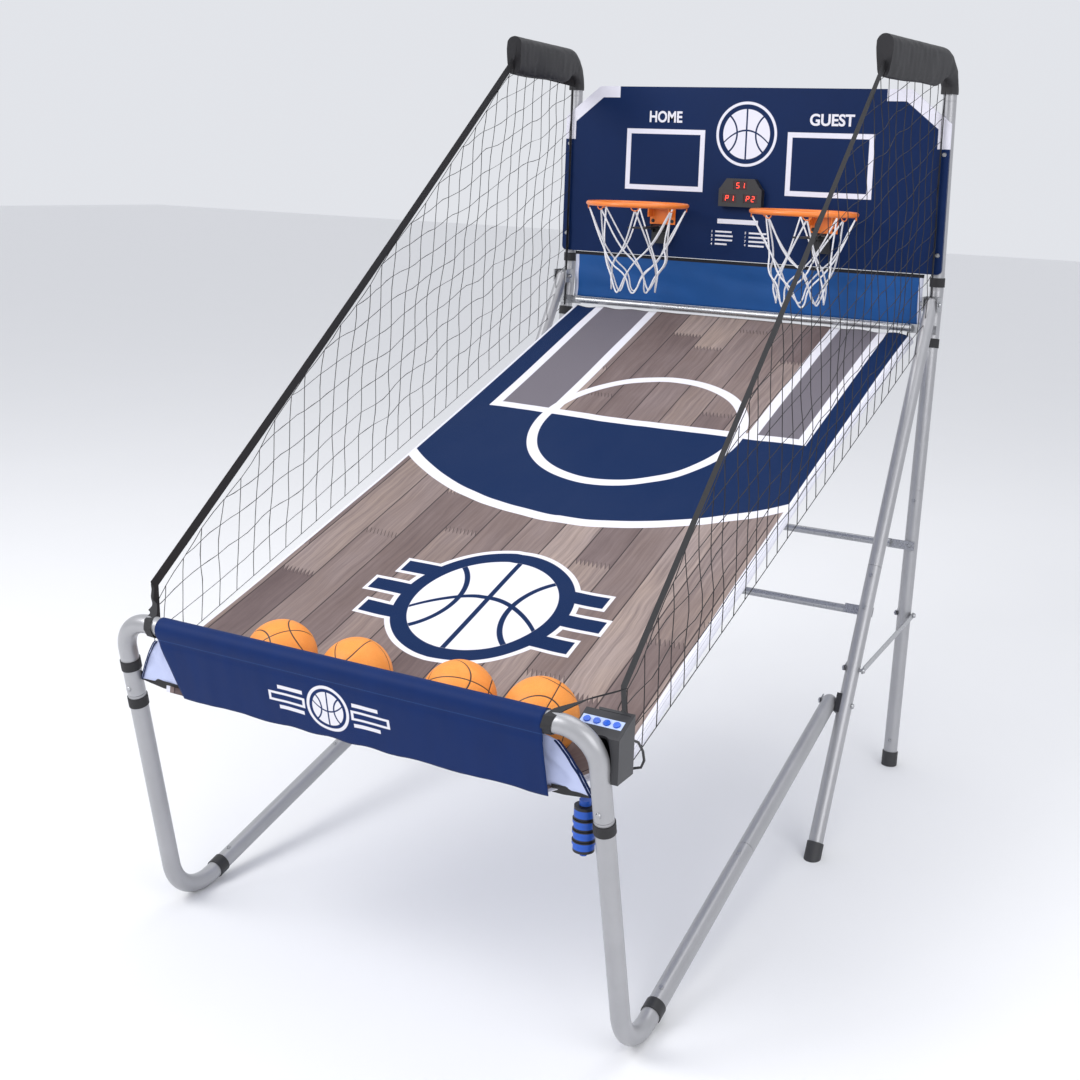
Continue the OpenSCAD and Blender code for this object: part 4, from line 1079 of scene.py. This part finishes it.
def pumpRule(place):
    z = place.axes()[2]
    fine = place.grain(800.0, 3.0)
    bands = abs((z - 0.452) / 0.020 - ((z - 0.452) / 0.020).floor() - 0.5) - 0.16
    blue = fine.mix(paint["pump"], (0.01, 0.11, 0.56))
    return {"Base_Color": bands.inside(0.03).mix(blue, (0.008, 0.008, 0.012)),
            "Roughness": fine * 0.2 + 0.35, "Normal": (fine + bands.inside(0.05)).bump(0.3, 0.0008)}


paintNode(finish("pumpPlastic", pumpRule), "pump")
print("controller and pump done")

# ---- balls ----
ball = {"radius": 0.0725, "groove": 0.0012, "half": 0.0155}


def seamGap(p):
    side = abs(abs(p.x) - 0.30 - 0.52 * p.y * p.y) * 0.80
    return min(abs(p.z), abs(p.y), side)


def ballRule(place):
    x, y, z = place.axes()
    side = abs(abs(x) - 0.30 - (y * y) * 0.52) * 0.80
    gap = abs(z).lesser(abs(y)).lesser(side)
    line = (gap - ball["half"]).inside(0.006)
    pebble = place.node("ShaderNodeTexVoronoi", {"feature": "F1"}, {"Vector": place, "Scale": 44.0}, 0)
    wear = place.grain(4.0, 5.0, 0.6)
    skin = (pebble.fade(0.1, 0.6) * 0.35 + wear * 0.65).mix((0.80, 0.225, 0.022), (0.95, 0.36, 0.06))
    return {"Base_Color": line.mix(skin, (0.012, 0.011, 0.011)), "Roughness": wear * 0.15 + 0.42,
            "Normal": (pebble * -1.0 * (1 - line)).bump(0.35, 0.0012)}


ballRubber = finish("ballRubber", ballRule, "skin")
turns = [(0.5, 0.3, 0.9), (1.3, 0.2, 2.2), (0.35, 0.9, 0.4), (0.2, 0.55, 1.75)]
for i in range(4):
    low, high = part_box("ball_" + str(i + 1))
    centre = (low + high) / 2
    shape = bmesh.new()
    bmesh.ops.create_icosphere(shape, subdivisions=6, radius=1.0)
    layer = shape.verts.layers.float_vector.new("skin")
    turnX, turnY, turnZ = (Matrix.Rotation(angle, 3, axis) for angle, axis in zip(turns[i], "XYZ"))
    turn = turnX @ turnY @ turnZ
    for vert in shape.verts:
        unit = vert.co.normalized()
        vert[layer] = unit
        gap = seamGap(unit)
        dip = ball["groove"] * max(0.0, 1 - (gap / 0.030) ** 2)
        vert.co = centre + (turn @ unit) * (ball["radius"] - dip)
    made = addPiece("ball" + str(i + 1), shape, "ball_" + str(i + 1), [ballRubber], 180)
    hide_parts("ball_" + str(i + 1))
print("balls done")

# ---- floor ----


def floorRule(place):
    soft = place.grain(2.0, 3.0)
    low = tuple(c * 0.985 for c in studio["floorColour"])
    return {"Base_Color": soft.mix(low, studio["floorColour"]), "Roughness": soft * 0.1 + 0.6}


floorShape = bmesh.new()
bmesh.ops.create_grid(floorShape, x_segments=2, y_segments=2, size=30)
floorData = bpy.data.meshes.new("floor")
floorShape.to_mesh(floorData)
floorShape.free()
floor = bpy.data.objects.new("floor", floorData)
scene.collection.objects.link(floor)
floorData.materials.append(finish("floorPaint", floorRule))

bpy.context.view_layer.update()
